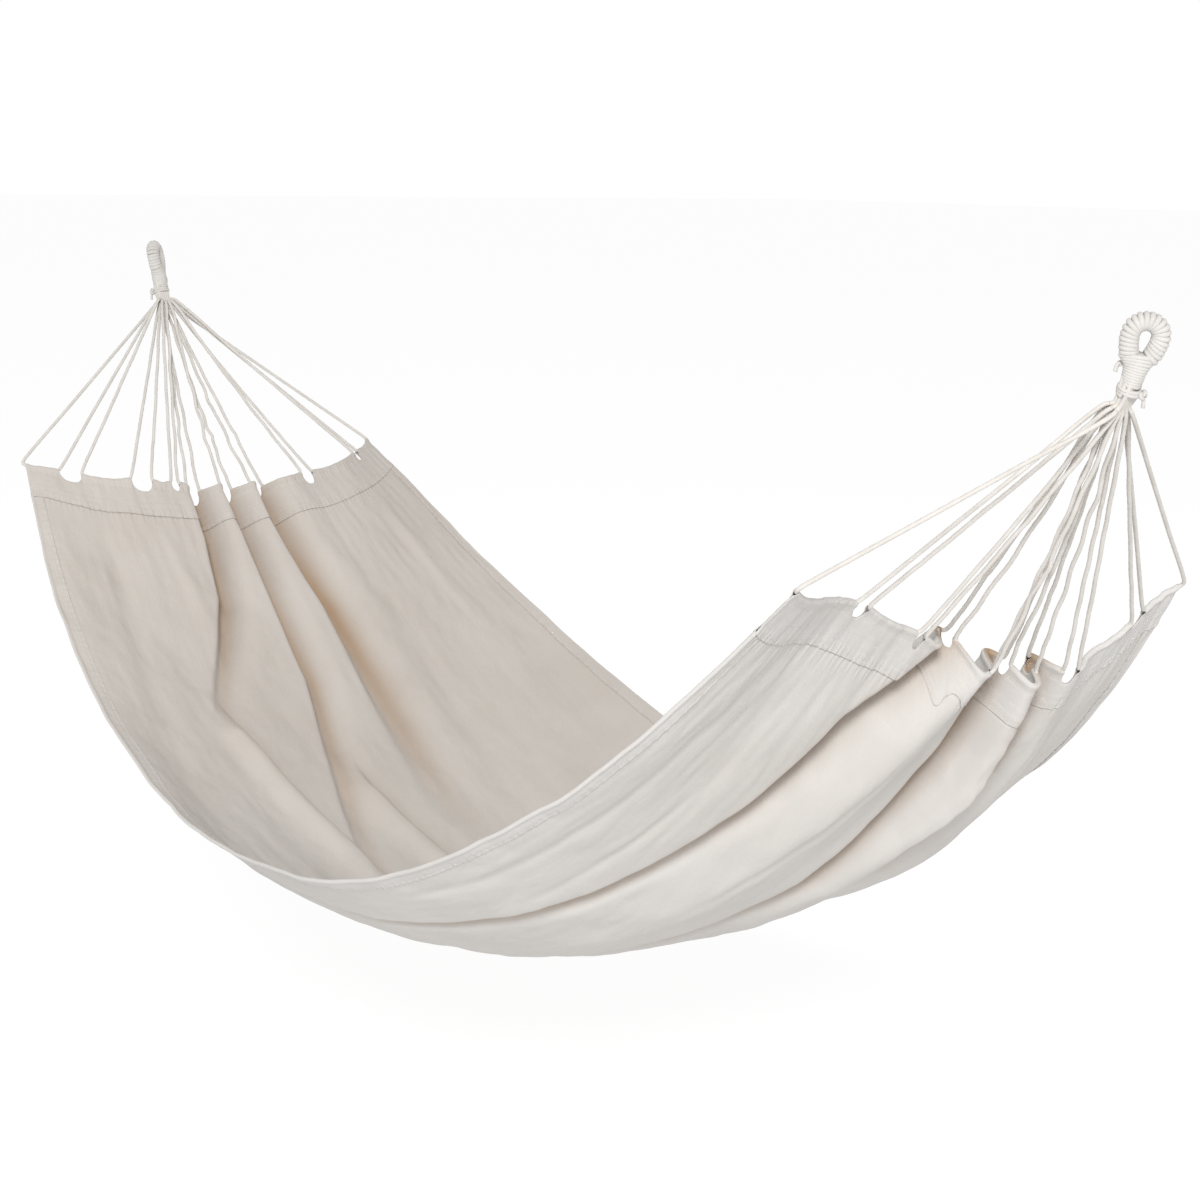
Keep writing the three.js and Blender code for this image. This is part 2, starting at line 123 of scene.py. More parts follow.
# A fold runs along the bed through knots (t, w, depth, width): t is -1 at hem A and 1 at hem B,
# w is 0 at the near side and 1 at the far side, and a positive depth sinks outwards.
FOLDS = [
    # three gathers at end A and the two soft ridges that cross the bed from them
    [(-1, 0.385, 0.032, 0.028), (-0.9, 0.38, 0.04, 0.024), (-0.79, 0.36, 0.034, 0.024),
     (-0.5, 0.23, 0, 0.025)],
    [(-1, 0.465, 0.032, 0.028), (-0.9, 0.465, 0.04, 0.024), (-0.64, 0.458, 0.022, 0.024),
     (-0.1, 0.34, 0, 0.025)],
    [(-1, 0.548, 0.034, 0.028), (-0.9, 0.553, 0.038, 0.026), (-0.77, 0.573, 0.024, 0.03),
     (-0.3, 0.56, 0, 0.04)],
    [(-0.6, 0.24, 0, 0.02), (-0.5, 0.25, -0.018, 0.02), (-0.3, 0.31, -0.02, 0.024),
     (0, 0.4, 0, 0.03)],
    [(-0.5, 0.43, 0, 0.02), (-0.42, 0.43, -0.012, 0.02), (-0.25, 0.47, -0.012, 0.02),
     (-0.05, 0.52, 0, 0.02)],
    # two deep creases with a roll between them, and the gathers at end B
    [(0.22, 0.13, 0, 0.016), (0.5, 0.22, -0.014, 0.016), (0.75, 0.34, -0.028, 0.018),
     (0.9, 0.41, -0.046, 0.024), (1, 0.515, -0.036, 0.027)],
    [(0.1, 0.25, 0, 0.06), (0.7, 0.42, 0.018, 0.06), (0.9, 0.5, 0.03, 0.05),
     (1, 0.565, 0.026, 0.03)],
    [(0.2, 0.36, 0, 0.016), (0.4, 0.45, -0.01, 0.016), (0.65, 0.563, -0.022, 0.018),
     (0.9, 0.615, -0.036, 0.022), (1, 0.615, -0.028, 0.026)],
    [(0.3, 0.5, 0, 0.05), (0.6, 0.6, 0.008, 0.04), (0.85, 0.665, 0.03, 0.035),
     (1, 0.665, 0.024, 0.026)],
    [(0.6, 0.68, 0, 0.03), (0.85, 0.715, -0.024, 0.03), (1, 0.705, -0.026, 0.026)],
    [(0.4, 0.72, 0, 0.05), (0.82, 0.79, 0.018, 0.05), (1, 0.76, 0.022, 0.04)],
]

# ---------- camera

CAMERA_PLACE = (3.3039, -1.8192, 0.1472)
CAMERA_HEADING = 2.4426  # radians from +X towards +Y
CAMERA_TILT = -0.1898
CAMERA_ROLL = 0.0164


def make_camera():
    data = bpy.data.cameras.new("camera")
    data.lens = 67.46
    data.clip_end = 200
    camera = bpy.data.objects.new("camera", data)
    SCENE.collection.objects.link(camera)
    level = cos(CAMERA_TILT)
    forward = Vector((level * cos(CAMERA_HEADING), level * sin(CAMERA_HEADING), sin(CAMERA_TILT)))
    right = forward.cross(Vector((0, 0, 1))).normalized()
    up = right.cross(forward)
    turned = Matrix((right, up, -forward)).transposed() @ Matrix.Rotation(CAMERA_ROLL, 3, "Z")
    camera.matrix_world = Matrix.Translation(CAMERA_PLACE) @ turned.to_4x4()
    SCENE.camera = camera


make_camera()

# ---------- cloth surface, as in the CAD


def by_end(t, key):
    """The value of the end that t is nearer to."""
    return np.where(t < 0, ENDS["a"][key], ENDS["b"][key])


def lengthwise(t, line):
    """A lengthwise line falls from its hem as a power curve to its lowest point."""
    top, fullness = by_end(t, f"{line}_z"), by_end(t, f"{line}_fullness")
    return LOWEST[line] + (top - LOWEST[line]) * np.abs(t) ** fullness


def edge_y(t, side):
    a, b = ENDS["a"][f"{side}_y"], ENDS["b"][f"{side}_y"]
    return a + (b - a) * ((t + 1) / 2) + BELLY[side] * (1 - t * t)


def smooth_bed(t, w):
    t, w = np.broadcast_arrays(np.asarray(t, float), np.asarray(w, float))
    s = 2 * w - 1
    corner = by_end(t, "corner")
    reach = corner + (by_end(t, "middle") - corner) * (1 - s * s)
    near_y, far_y = edge_y(t, "near"), edge_y(t, "far")
    near_z, far_z, keel_z = (lengthwise(t, line) for line in ("near", "far", "keel"))
    cos_edge = cos(SECTION_ANGLE)
    across = np.sin(s * SECTION_ANGLE) / sin(SECTION_ANGLE)
    hollow = (np.cos(s * SECTION_ANGLE) - cos_edge) / (1 - cos_edge)
    deeper = 1 + by_end(t, "lopsided") * s * (1 - np.abs(s) ** 3) * np.abs(t) ** 3
    middle_z = (near_z + far_z) / 2
    x = HALF_SPAN + t * reach + SAG_SHIFT * (1 - t * t)
    y = (near_y + far_y) / 2 + (far_y - near_y) / 2 * across
    z = middle_z + (far_z - near_z) / 2 * across + (keel_z - middle_z) * hollow * deeper
    return np.stack([x, y, z], axis=-1)


def unit(v):
    return v / np.linalg.norm(v, axis=-1, keepdims=True)


def outward(surface, t, w, step=0.002):
    """The unit normal that points out of the bed, downwards."""
    along = surface(t + step, w) - surface(t - step, w)
    over = surface(t, w + step) - surface(t, w - step)
    return unit(np.cross(over, along))


def soft_fold(beside):
    return np.exp(-beside * beside)


def crisp_fold(beside):
    """A steep drop from a crisp edge on the near side, and a soft rise on the far side."""
    steep = np.exp(-np.abs(beside / 0.8) ** 4)
    soft = np.exp(-np.abs(beside / 1.12) ** 2)
    return np.where(beside < 0, steep, soft)


def crest_fold(beside):
    return crisp_fold(-beside)


def fold_depth(folds, t, w, profile=soft_fold):
    depth = 0
    for knots in folds:
        at, place, deep, width = (np.array(column) for column in zip(*knots))
        beside = (w - np.interp(t, at, place)) / np.interp(t, at, width)
        depth = depth + np.interp(t, at, deep) * profile(beside)
    return depth


def bed(t, w):
    depth = fold_depth(FOLDS, t, w)
    return smooth_bed(t, w) + outward(smooth_bed, t, w) * depth[..., None]


def hem_t(end, w, from_edge):
    """The t at a distance from the open edge of a hem, counted inwards."""
    step = 0.01
    sign = end["sign"]
    first = bed(sign * np.ones_like(w), w) - bed(sign * (1 - step) + 0 * w, w)
    return sign * (1 - from_edge * step / np.linalg.norm(first, axis=-1))


# ---------- relief of the real cloth

# Small lengthwise wrinkles in the same form as the folds, finer than the CAD carries.
WRINKLES = [
    # the near side curls outwards beside end A
    [(-1, 0, 0.004, 0.02), (-0.8, 0, 0.012, 0.022), (-0.3, 0, 0.008, 0.022), (0.1, 0, 0, 0.02)],
    # soft panels of end A
    [(-0.97, 0.13, 0, 0.02), (-0.8, 0.15, 0.006, 0.022), (-0.45, 0.12, 0.005, 0.03),
     (-0.1, 0.1, 0, 0.03)],
    [(-0.97, 0.27, 0, 0.015), (-0.8, 0.29, -0.004, 0.02), (-0.5, 0.33, 0, 0.02)],
    [(-0.98, 0.66, 0, 0.02), (-0.75, 0.69, 0.006, 0.03), (-0.35, 0.68, 0.004, 0.03),
     (0, 0.66, 0, 0.03)],
    [(-0.96, 0.83, 0, 0.015), (-0.82, 0.85, -0.006, 0.02), (-0.6, 0.86, 0, 0.02)],
    # the middle of the bed
    [(-0.35, 0.2, 0, 0.02), (-0.1, 0.24, -0.004, 0.02), (0.2, 0.27, -0.004, 0.02),
     (0.5, 0.31, 0, 0.02)],
    [(-0.3, 0.62, 0, 0.02), (0, 0.63, 0.005, 0.03), (0.35, 0.66, 0, 0.03)],
    # outer near panel at end B: creases running down from the hem
    [(0.3, 0.05, 0, 0.012), (0.55, 0.09, -0.004, 0.012), (0.8, 0.12, -0.003, 0.012),
     (0.95, 0.15, 0, 0.012)],
    [(0.45, 0.16, 0, 0.01), (0.65, 0.2, -0.003, 0.01), (0.85, 0.25, 0, 0.01)],
    # second panel and the crumpled recess beyond it
    [(0.5, 0.36, 0, 0.012), (0.75, 0.46, -0.005, 0.012), (0.95, 0.53, 0, 0.01)],
    [(0.7, 0.6, 0, 0.008), (0.86, 0.645, -0.008, 0.009), (1, 0.65, -0.005, 0.009)],
    [(0.72, 0.64, 0, 0.008), (0.88, 0.68, 0.008, 0.009), (1, 0.685, 0.004, 0.009)],
    [(0.7, 0.72, 0, 0.01), (0.86, 0.745, 0.007, 0.01), (1, 0.735, 0.003, 0.009)],
    [(0.55, 0.8, 0, 0.02), (0.8, 0.85, -0.006, 0.02), (0.97, 0.86, 0, 0.02)],
]

FLAT_WIDTH = 1.05  # metres for w from 0 to 1
FLAT_HALF_LENGTH = 1.0  # metres for t from 0 to 1

# Random relief as (wavelength, number of waves, seed, stretch along the bed, height).
SWELL = (0.22, 14, 3, 1.8, 0.0022)
RUMPLE = (0.07, 18, 5, 1.6, 0.0007)
CREASE = (0.03, 18, 8, 2.0, 0.00045)
RIDGES = [(0.13, 9, 12, 1.5, 0.0008), (0.06, 9, 21, 1.3, 0.0004)]
RIDGE_ROUND = 0.02  # takes the sharpness off the valleys between ridges
CRUMPLE = (0.035, 12, 31, 1.0, 0.0026)
RECESS = {"t": 0.9, "w": 0.7, "length": 0.09, "width": 0.05}  # the crumpled recess of end B


def waves(u, v, wavelength, count, seed, stretch):
    """A smooth random height near -1 to 1, from plane waves that are drawn out along v."""
    rng = np.random.default_rng(seed)
    height = 0
    for _ in range(count):
        heading = rng.uniform(0, tau)
        number = tau / (wavelength * rng.uniform(0.7, 1.5))
        phase = rng.uniform(0, tau)
        along = u * cos(heading) + v / stretch * sin(heading)
        height = height + np.sin(number * along + phase)
    return height / sqrt(count)


CREASED, CRESTED = [0, 1, 2, 5, 7, 9], [3, 4]  # the folds with a crisp near or far edge
# The creases of end B run on towards the middle of the bed, too shallow for the CAD.
LONG_CREASES = [
    [(-0.2, 0.035, 0, 0.01), (0.05, 0.085, -0.005, 0.012), (0.3, 0.155, -0.007, 0.012),
     (0.55, 0.24, 0, 0.012)],
    [(-0.1, 0.23, 0, 0.01), (0.1, 0.31, -0.005, 0.012), (0.3, 0.4, -0.006, 0.012),
     (0.5, 0.49, 0, 0.012)],
]
CRISP_FOLDS = [FOLDS[i] for i in CREASED] + LONG_CREASES
CREST_FOLDS = [FOLDS[i] for i in CRESTED]
SOFT_FOLDS = [fold for i, fold in enumerate(FOLDS) if i not in CREASED + CRESTED]

ACROSS = np.linspace(-0.05, 1.05, 400)
SEAM_T = {letter: hem_t(end, ACROSS, HEM["depth"]) for letter, end in ENDS.items()}


def from_seam(t, w):
    """Distance from the nearer end hem's seam, counted from the seam towards the middle."""
    at_a, at_b = (np.interp(w, ACROSS, SEAM_T[letter]) for letter in "ab")
    return np.where(t < 0, t - at_a, at_b - t) * FLAT_HALF_LENGTH


def pucker(distance, along, reach=0.011, height=0.0004):
    """A sewn seam draws the cloth beside it into short ripples."""
    ripple = np.sin(tau * along / 0.013) + 0.6 * np.sin(tau * along / 0.0083 + 1)
    return height * ripple * np.exp(-(distance / reach) ** 2)


def puckers(t, w):
    """The ripples along every row of stitches: all the layers of cloth share them."""
    along_hem, along_side = w * FLAT_WIDTH, t * FLAT_HALF_LENGTH
    inwards = from_seam(t, w)
    from_side = np.minimum(w, 1 - w) * FLAT_WIDTH
    return (
        pucker(inwards, along_hem)
        + pucker(inwards + HEM["depth"] - 0.022, along_hem + 0.004, 0.009, 0.0003)
        + pucker(from_side - 0.024, along_side, 0.009, 0.0004) * np.clip(inwards / 0.02, 0, 1)
    )


def relief(t, w):
    """Height of the fine relief over the CAD surface, outwards."""

    def layer(settings, shape=np.positive):
        *wave, height = settings
        return height * shape(waves(w * FLAT_WIDTH, t * FLAT_HALF_LENGTH, *wave))

    at_ends = 0.35 + 0.65 * np.abs(t) ** 4
    beside = ((t - RECESS["t"]) / RECESS["length"]) ** 2 + ((w - RECESS["w"]) / RECESS["width"]) ** 2
    fine = layer(SWELL) + layer(RUMPLE) + layer(CREASE) * at_ends
    for ridges in RIDGES:
        fine = fine + layer(ridges, lambda height: np.sqrt(height**2 + RIDGE_ROUND))
    fine = fine + layer(CRUMPLE, np.abs) * np.exp(-beside)
    return fold_depth(WRINKLES, t, w) + fine + puckers(t, w)


def cloth(t, w):
    folded = fold_depth(CRISP_FOLDS, t, w, crisp_fold) + fold_depth(CREST_FOLDS, t, w, crest_fold)
    height = fold_depth(SOFT_FOLDS, t, w) + folded + relief(t, w)
    return smooth_bed(t, w) + outward(smooth_bed, t, w) * height[..., None]


def hem_point(end, w, from_edge):
    w = np.asarray(w, float)
    return cloth(hem_t(end, w, from_edge), w)


# ---------- meshes


def grid_faces(rows, columns, closed=False):
    """Quads over a grid of points; a closed grid goes on from its last column to its first."""
    i, j = np.mgrid[:rows - 1, :columns - (not closed)]
    here, below, beside = i * columns, (i + 1) * columns, (j + 1) % columns
    return np.stack([here + j, here + beside, below + beside, below + j], axis=-1).reshape(-1, 4)


def make_piece(name, part, material, valley=None):
    """A smooth mesh object of a part (vertices, faces, uv); valley has a value for each vertex, the
    strength of its painted shade.
    """
    vertices, faces, uv = part
    mesh = bpy.data.meshes.new(name)
    mesh.from_pydata(np.asarray(vertices).tolist(), [], [list(map(int, face)) for face in faces])
    mesh.shade_smooth()
    if uv is not None:
        mesh.uv_layers.new(name="flat").data.foreach_set("uv", np.asarray(uv, np.float32).ravel())
    if valley is not None:
        shade = mesh.attributes.new("valley", "FLOAT", "POINT")
        shade.data.foreach_set("value", np.asarray(valley, np.float32).ravel())
    mesh.materials.append(material)
    piece = bpy.data.objects.new(name, mesh)
    SCENE.collection.objects.link(piece)
    return piece


def join(parts):
    """Several parts as one."""
    vertices, faces, uv, base = [], [], [], 0
    for part_vertices, part_faces, part_uv in parts:
        vertices.append(part_vertices)
        faces += [[base + k for k in face] for face in part_faces]
        uv.append(np.asarray(part_uv).reshape(-1, 2))
        base += len(part_vertices)
    return np.concatenate(vertices), faces, np.concatenate(uv)


def thicken(piece, thickness):
    solidify = piece.modifiers.new("thickness", "SOLIDIFY")
    solidify.thickness = thickness
    solidify.offset = 0


def spline(points, step):
    """A centripetal Catmull-Rom curve through the points, sampled evenly by length."""
    p = np.asarray(points, float)
    p = np.vstack([2 * p[0] - p[1], p, 2 * p[-1] - p[-2]])
    share = np.linspace(0, 1, 24, endpoint=False)[:, None]
    dense = []
    for p0, p1, p2, p3 in zip(p, p[1:], p[2:], p[3:]):
        d0, d1, d2 = (sqrt(np.linalg.norm(q - r)) for q, r in ((p1, p0), (p2, p1), (p3, p2)))
        leave = ((p1 - p0) / d0 - (p2 - p0) / (d0 + d1) + (p2 - p1) / d1) * d1
        reach = ((p2 - p1) / d1 - (p3 - p1) / (d1 + d2) + (p3 - p2) / d2) * d1
        dense.append(
            (2 * share**3 - 3 * share**2 + 1) * p1 + (share**3 - 2 * share**2 + share) * leave
            + (3 * share**2 - 2 * share**3) * p2 + (share**3 - share**2) * reach
        )
    dense.append(p[-2][None])
    return even(np.concatenate(dense), step)


def gone_along(points):
    """How far along the line each of its points lies."""
    return np.concatenate([[0], np.cumsum(np.linalg.norm(np.diff(points, axis=0), axis=1))])


def at_lengths(at, gone, values):
    """Three columns of values, read at the given lengths."""
    return np.stack([np.interp(at, gone, values[:, axis]) for axis in range(3)], axis=-1)


def even(points, step):
    """The same line with its points a step apart."""
    gone = gone_along(points)
    return at_lengths(np.linspace(0, gone[-1], max(3, round(gone[-1] / step) + 1)), gone, points)


def line_length(points):
    return float(gone_along(points)[-1])


def carried_normals(points):
    """Tangents, and normals carried along the line without turning about it."""
    tangents = unit(np.gradient(points, axis=0))
    start = np.cross(tangents[0], [0, 0, 1])
    if np.linalg.norm(start) < 0.1:
        start = np.cross(tangents[0], [0, 1, 0])
    normals = [unit(start)]
    for tangent in tangents[1:]:
        normals.append(unit(normals[-1] - tangent * np.dot(normals[-1], tangent)))
    return tangents, np.array(normals)


def capped(rings):
    """The part through rings of points; each ring turns as a screw does on its way to the next."""
    rows, sides, _ = rings.shape
    caps = [list(range(sides))[::-1], list(range((rows - 1) * sides, rows * sides))]
    faces = [*grid_faces(rows, sides, closed=True).tolist(), *caps]
    return rings.reshape(-1, 3), faces, np.zeros((sum(map(len, faces)), 2))


def tube(points, radius, sides=10, lobes=0, lobe_depth=0.0, lay=0.0):
    """A rope along the points: lobes are its strands, which twist once in each lay."""
    tangents, normals = carried_normals(points)
    binormals = np.cross(tangents, normals)
    gone = gone_along(points)
    around = np.arange(sides) * tau / sides
    twist = tau * gone[:, None] / lay if lay else 0 * gone[:, None]
    swell = 1 - lobe_depth * (1 - np.abs(np.cos(lobes / 2 * (around[None] - twist)))) if lobes else 1
    over, beside = np.cos(around)[:, None], np.sin(around)[:, None]
    ring = over * normals[:, None] + beside * binormals[:, None]
    rings = points[:, None] + ring * (radius * swell * np.ones((len(points), sides)))[..., None]
    vertices, faces, _ = capped(rings)
    row, column = np.divmod(np.arange((len(points) - 1) * sides)[:, None], sides)
    across = (column + [0, 1, 1, 0]) * tau * radius / sides
    uv = np.stack([across, gone[row + [0, 0, 1, 1]]], axis=-1).reshape(-1, 2)
    return vertices, faces, np.concatenate([uv, np.zeros((2 * sides, 2))])


# ---------- materials

# Painted shade: the warm brown that the cloth is multiplied towards in the valleys of its folds, for
# their shadow and the light bounced within them.
PAINTED_VALLEY_SHADE = (0.6, 0.42, 0.27, 1)
SLUB = (0.62, 0.57, 0.5, 1)
FLECK = (0.33, 0.24, 0.15, 1)
FIBRE = (0.5, 0.43, 0.34, 1)
COTTON = {"Specular IOR Level": 0.18, "Sheen Roughness": 0.6}
THREAD_PITCH = 0.00075
FIBRE_ANGLE = 0.5  # between the fibres and the line of their cord
BED_HOLLOW = (HALF_SPAN, 0, -0.35)  # a point inside the bed that the inner side faces all round


class Nodes:
    """A node tree, with short calls to add and link its nodes."""

    def __init__(self, tree):
        self.tree = tree

    def fill(self, node, inputs):
        for socket, value in inputs.items():
            if isinstance(value, bpy.types.NodeSocket):
                self.tree.links.new(value, node.inputs[socket])
            else:
                node.inputs[socket].default_value = value

    def add(self, kind, inputs, **settings):
        node = self.tree.nodes.new(kind)
        for key, value in settings.items():
            setattr(node, key, value)
        self.fill(node, inputs)
        return node

    def mix(self, share, first, second, blend="MIX"):
        sockets = {0: share, 6: first, 7: second}
        return self.add("ShaderNodeMix", sockets, data_type="RGBA", blend_type=blend).outputs[2]

    def maths(self, operation, first, second):
        return self.add("ShaderNodeMath", {0: first, 1: second}, operation=operation).outputs[0]

    def vectors(self, operation, first, second):
        return self.add("ShaderNodeVectorMath", {0: first, 1: second}, operation=operation).outputs

    def spread(self, value, low, high, to_low=0.0, to_high=1.0, **settings):
        ends = {"From Min": low, "From Max": high, "To Min": to_low, "To Max": to_high}
        return self.add("ShaderNodeMapRange", {"Value": value, **ends}, **settings).outputs[0]

    def noise(self, vector, scale, detail=3.0, roughness=0.5):
        sockets = {"Vector": vector, "Scale": scale, "Detail": detail, "Roughness": roughness}
        return self.add("ShaderNodeTexNoise", sockets).outputs[0]

    def scaled(self, vector, scale, turn=0.0):
        sockets = {"Vector": vector, "Scale": scale, "Rotation": (0, 0, turn)}
        return self.add("ShaderNodeMapping", sockets).outputs[0]

    def bump(self, height, strength, distance, **below):
        sockets = {"Height": height, "Strength": strength, "Distance": distance, **below}
        return self.add("ShaderNodeBump", sockets).outputs[0]


class Shader(Nodes):
    """One material; finish fills sockets of its surface."""

    def __init__(self, name):
        self.material = bpy.data.materials.new(name)
        self.material.use_nodes = True
        super().__init__(self.material.node_tree)

    def finish(self, sockets):
        self.fill(self.tree.nodes["Principled BSDF"], sockets)
        return self.material


def cloth_material(name, pale, deep, crumple):
    """Plain-woven cotton with thick slubs, seed flecks, painted warm shade in the valleys of its folds
    and soft crumples.
    """
    shader = Shader(name)
    places = shader.add("ShaderNodeTexCoord", {}).outputs
    flat, body = places["UV"], places["Object"]

    cloudy = shader.noise(body, 5.0, 4.0)
    color = shader.mix(shader.spread(cloudy, 0.35, 0.65), pale, deep)
    warp_slubs = shader.noise(shader.scaled(flat, (900, 28, 1)), 1.0, 2.0)
    weft_slubs = shader.noise(shader.scaled(flat, (28, 900, 1)), 1.0, 2.0)
    slubs = shader.maths("MAXIMUM", warp_slubs, weft_slubs)
    color = shader.mix(shader.spread(slubs, 0.5, 0.85, 0.0, 0.35), color, SLUB)
    specks = shader.noise(shader.scaled(flat, (420, 300, 1)), 1.0, 1.0)
    color = shader.mix(shader.spread(specks, 0.79, 0.84, 0.0, 0.45), color, FLECK)
    # painted shade: the valleys of the folds are darkened and warmed
    color = shader.mix(painted_valley_shade(shader, body, places["Normal"]), color, PAINTED_VALLEY_SHADE, "MULTIPLY")

    wave = tau / (20 * THREAD_PITCH)  # Blender's wave texture has 20 radians to a unit
    bands = {"Vector": flat, "Scale": wave, "Distortion": 0.6, "Detail": 1.0}
    weave = shader.maths("MAXIMUM", *(
        shader.add("ShaderNodeTexWave", bands, bands_direction=way).outputs[1] for way in "XY"
    ))
    threads = shader.maths("ADD", weave, shader.maths("MULTIPLY", slubs, 1.2))
    crumples = shader.noise(shader.scaled(flat, (22, 14, 1)), 1.0, 7.0, 0.6)
    lower = shader.bump(crumples, crumple, 0.006)
    normal = shader.bump(threads, 0.25, 0.0003, Normal=lower)
    surface = {"Base Color": color, "Normal": normal, "Roughness": 0.92, "Sheen Weight": 0.05}
    return shader.finish(COTTON | surface)


def painted_valley_shade(shader, body, normal):
    """The painted shade of a valley, on the side of the cloth where it opens."""
    valley = shader.add("ShaderNodeAttribute", {}, attribute_name="valley").outputs["Fac"]
    from_hollow = shader.vectors("SUBTRACT", body, BED_HOLLOW)[0]
    facing = shader.vectors("DOT_PRODUCT", from_hollow, normal)["Value"]
    outside = shader.spread(facing, -0.05, 0.05)
    on_inside = shader.maths("MULTIPLY", valley, shader.maths("SUBTRACT", 1.0, outside))
    on_outside = shader.maths("MULTIPLY", shader.maths("MULTIPLY", valley, -1.0), outside)
    return shader.maths("MAXIMUM", on_inside, on_outside)


def cord_material(name, pale, deep):
    """Soft twisted cotton: fine fibres that run round the strands, with uneven shade."""
    shader = Shader(name)
    places = shader.add("ShaderNodeTexCoord", {}).outputs
    cloudy = shader.noise(places["Object"], 38.0, 3.0)
    color = shader.mix(shader.spread(cloudy, 0.35, 0.65), pale, deep)
    fibres = shader.noise(shader.scaled(places["UV"], (2600, 240, 1), FIBRE_ANGLE), 1.0, 2.0)
    color = shader.mix(shader.spread(fibres, 0.45, 0.8, 0.0, 0.15), color, FIBRE)
    fuzz = shader.noise(places["Object"], 900.0, 2.0)
    normal = shader.bump(fibres, 0.2, 0.0003, Normal=shader.bump(fuzz, 0.1, 0.0002))
    surface = {"Base Color": color, "Normal": normal, "Roughness": 0.9, "Sheen Weight": 0.08}
    return shader.finish(COTTON | surface)


CANVAS = cloth_material("canvas", (0.53, 0.513, 0.492, 1), (0.497, 0.475, 0.449, 1), 0.35)
HEM_CLOTH = cloth_material("hem_canvas", (0.528, 0.514, 0.498, 1), (0.497, 0.48, 0.46, 1), 0.45)
ROPE = cord_material("cotton_cord", (0.555, 0.532, 0.503, 1), (0.505, 0.48, 0.447, 1))
SERVING = cord_material("serving_cord", (0.53, 0.516, 0.498, 1), (0.48, 0.462, 0.441, 1))
THREAD = cord_material("sewing_thread", (0.6, 0.57, 0.53, 1), (0.52, 0.48, 0.44, 1))


def dress(piece, body, slot, *nodes):
    """What every piece needs said of it: its body, and the CAD nodes it stands for, which are hidden;
    slot, its finish, is not used.
    """
    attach(piece, body)
    if nodes:
        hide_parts(*nodes)
    return piece


# ---------- suspension cords


def tab_span(end, k):
    """Where tab k starts and ends across the hem, with the width of one metre at both places."""
    middles = [0.0, *end["notches"], 1.0]
    halves = [0.0, *end["notch_halves"], 0.0]
    start_step, stop_step = hem_step(end, middles[k]), hem_step(end, middles[k + 1])
    start = middles[k] + halves[k] * start_step
    stop = middles[k + 1] - halves[k + 1] * stop_step
    return start, stop, start_step, stop_step


def hem_step(end, w):
    """How far w moves for one metre along a hem."""
    step = 0.001
    places = np.array([w - step, w + step])
    before, after = bed(hem_t(end, places, HEM["channel_end"]), places)
    return 2 * step / float(np.linalg.norm(after - before))


def tab_turn(end, w, outward_step):
    """The round turn of a cord from its pull towards the knot into its tunnel."""
    mouth = hem_point(end, w, HEM["channel_end"])
    out = unit(hem_point(end, w + outward_step * 0.001, HEM["channel_end"]) - mouth)
    pull = unit(KNOTS["a" if end["sign"] < 0 else "b"] - mouth)
    across = unit(pull - out * (pull @ out))
    angle = np.array(CORD["bend_shares"])[:, None] * acos(pull @ out)
    return mouth + CORD["bend"] * (across * (1 - np.cos(angle)) + out * np.sin(angle))


def tab_route(end, k):
    """The cord's line through a tab and round its two ends, from the near side."""
    start, stop, start_step, stop_step = tab_span(end, k)
    share = np.linspace(0, 1, 4)
    tunnel = hem_point(end, start + (stop - start) * share, channel_place((2 * share - 1) ** 2))
    return [*tab_turn(end, start, -start_step), *tunnel, *tab_turn(end, stop, stop_step)[::-1]]


def channel_place(towards_end):
    """Where the cord runs in its tunnel: 0 in the middle of a tab, 1 at its ends."""
    return HEM["channel_middle"] + (HEM["channel_end"] - HEM["channel_middle"]) * towards_end


def bundle_axes(end, knot):
    down = unit((hem_point(end, 0.5, 0) - knot) * [1, 0, 1])
    sideways = np.array([0.0, 1.0, 0.0])
    return down, sideways, np.cross(down, sideways)


def knot_places(end, knot):
    """For each strand, the direction in which it leaves the knot, and its slack."""
    down, sideways, off_plane = bundle_axes(end, knot)
    strands = []  # (sideways, off the plane of the fan, number), in the order of their feet
    for i in range(2 * len(end["notches"]) + 2):
        tab = tab_route(end, i // 2)
        foot = (tab[-1] if i % 2 else tab[0]) - knot
        depth = foot @ down
        strands.append((foot @ sideways / depth, foot @ off_plane / depth, i))
    strands.sort()
    places = {}
    for column, fan_angle in enumerate(CORD["fan_angles"]):
        trio = sorted(strands[3 * column:3 * column + 3], key=lambda strand: strand[1])
        fan = radians(fan_angle)
        in_plane = down * cos(fan) + sideways * sin(fan)
        for row, (_, _, i) in enumerate(trio):
            layer = radians((row - 1) * CORD["layer_angle"])
            direction = in_plane * cos(layer) + off_plane * sin(layer)
            places[i] = (direction, SLACK[column])
    return places


def strand_route(knot, place, foot):
    """From the knot to the point where the strand turns into its tab."""
    direction, slack = place
    free = knot + direction * (EYE["knot_radius"] + 0.006)
    share = np.array([[0.33], [0.66]])
    run = free + (foot - free) * share - 4 * share * (1 - share) * [0, 0, slack]
    return [knot + direction * (EYE["knot_radius"] + CORD["knot_gap"]), free, *run]


STRAND_ENDS = 0.035  # nothing is kinked this close to the knot or the hem
KINKS = {
    "clear": 0.07, "width": (0.006, 0.018), "height": (0.0012, 0.0036), "limp_slack": 0.009,
    "wave": 0.0009, "wavelength": (0.05, 0.09),
}
CORD_STEP = 0.0022
CORD_ROPE = {"radius": CORD["radius"], "sides": 12, "lobes": 3, "lobe_depth": 0.08, "lay": 0.039}


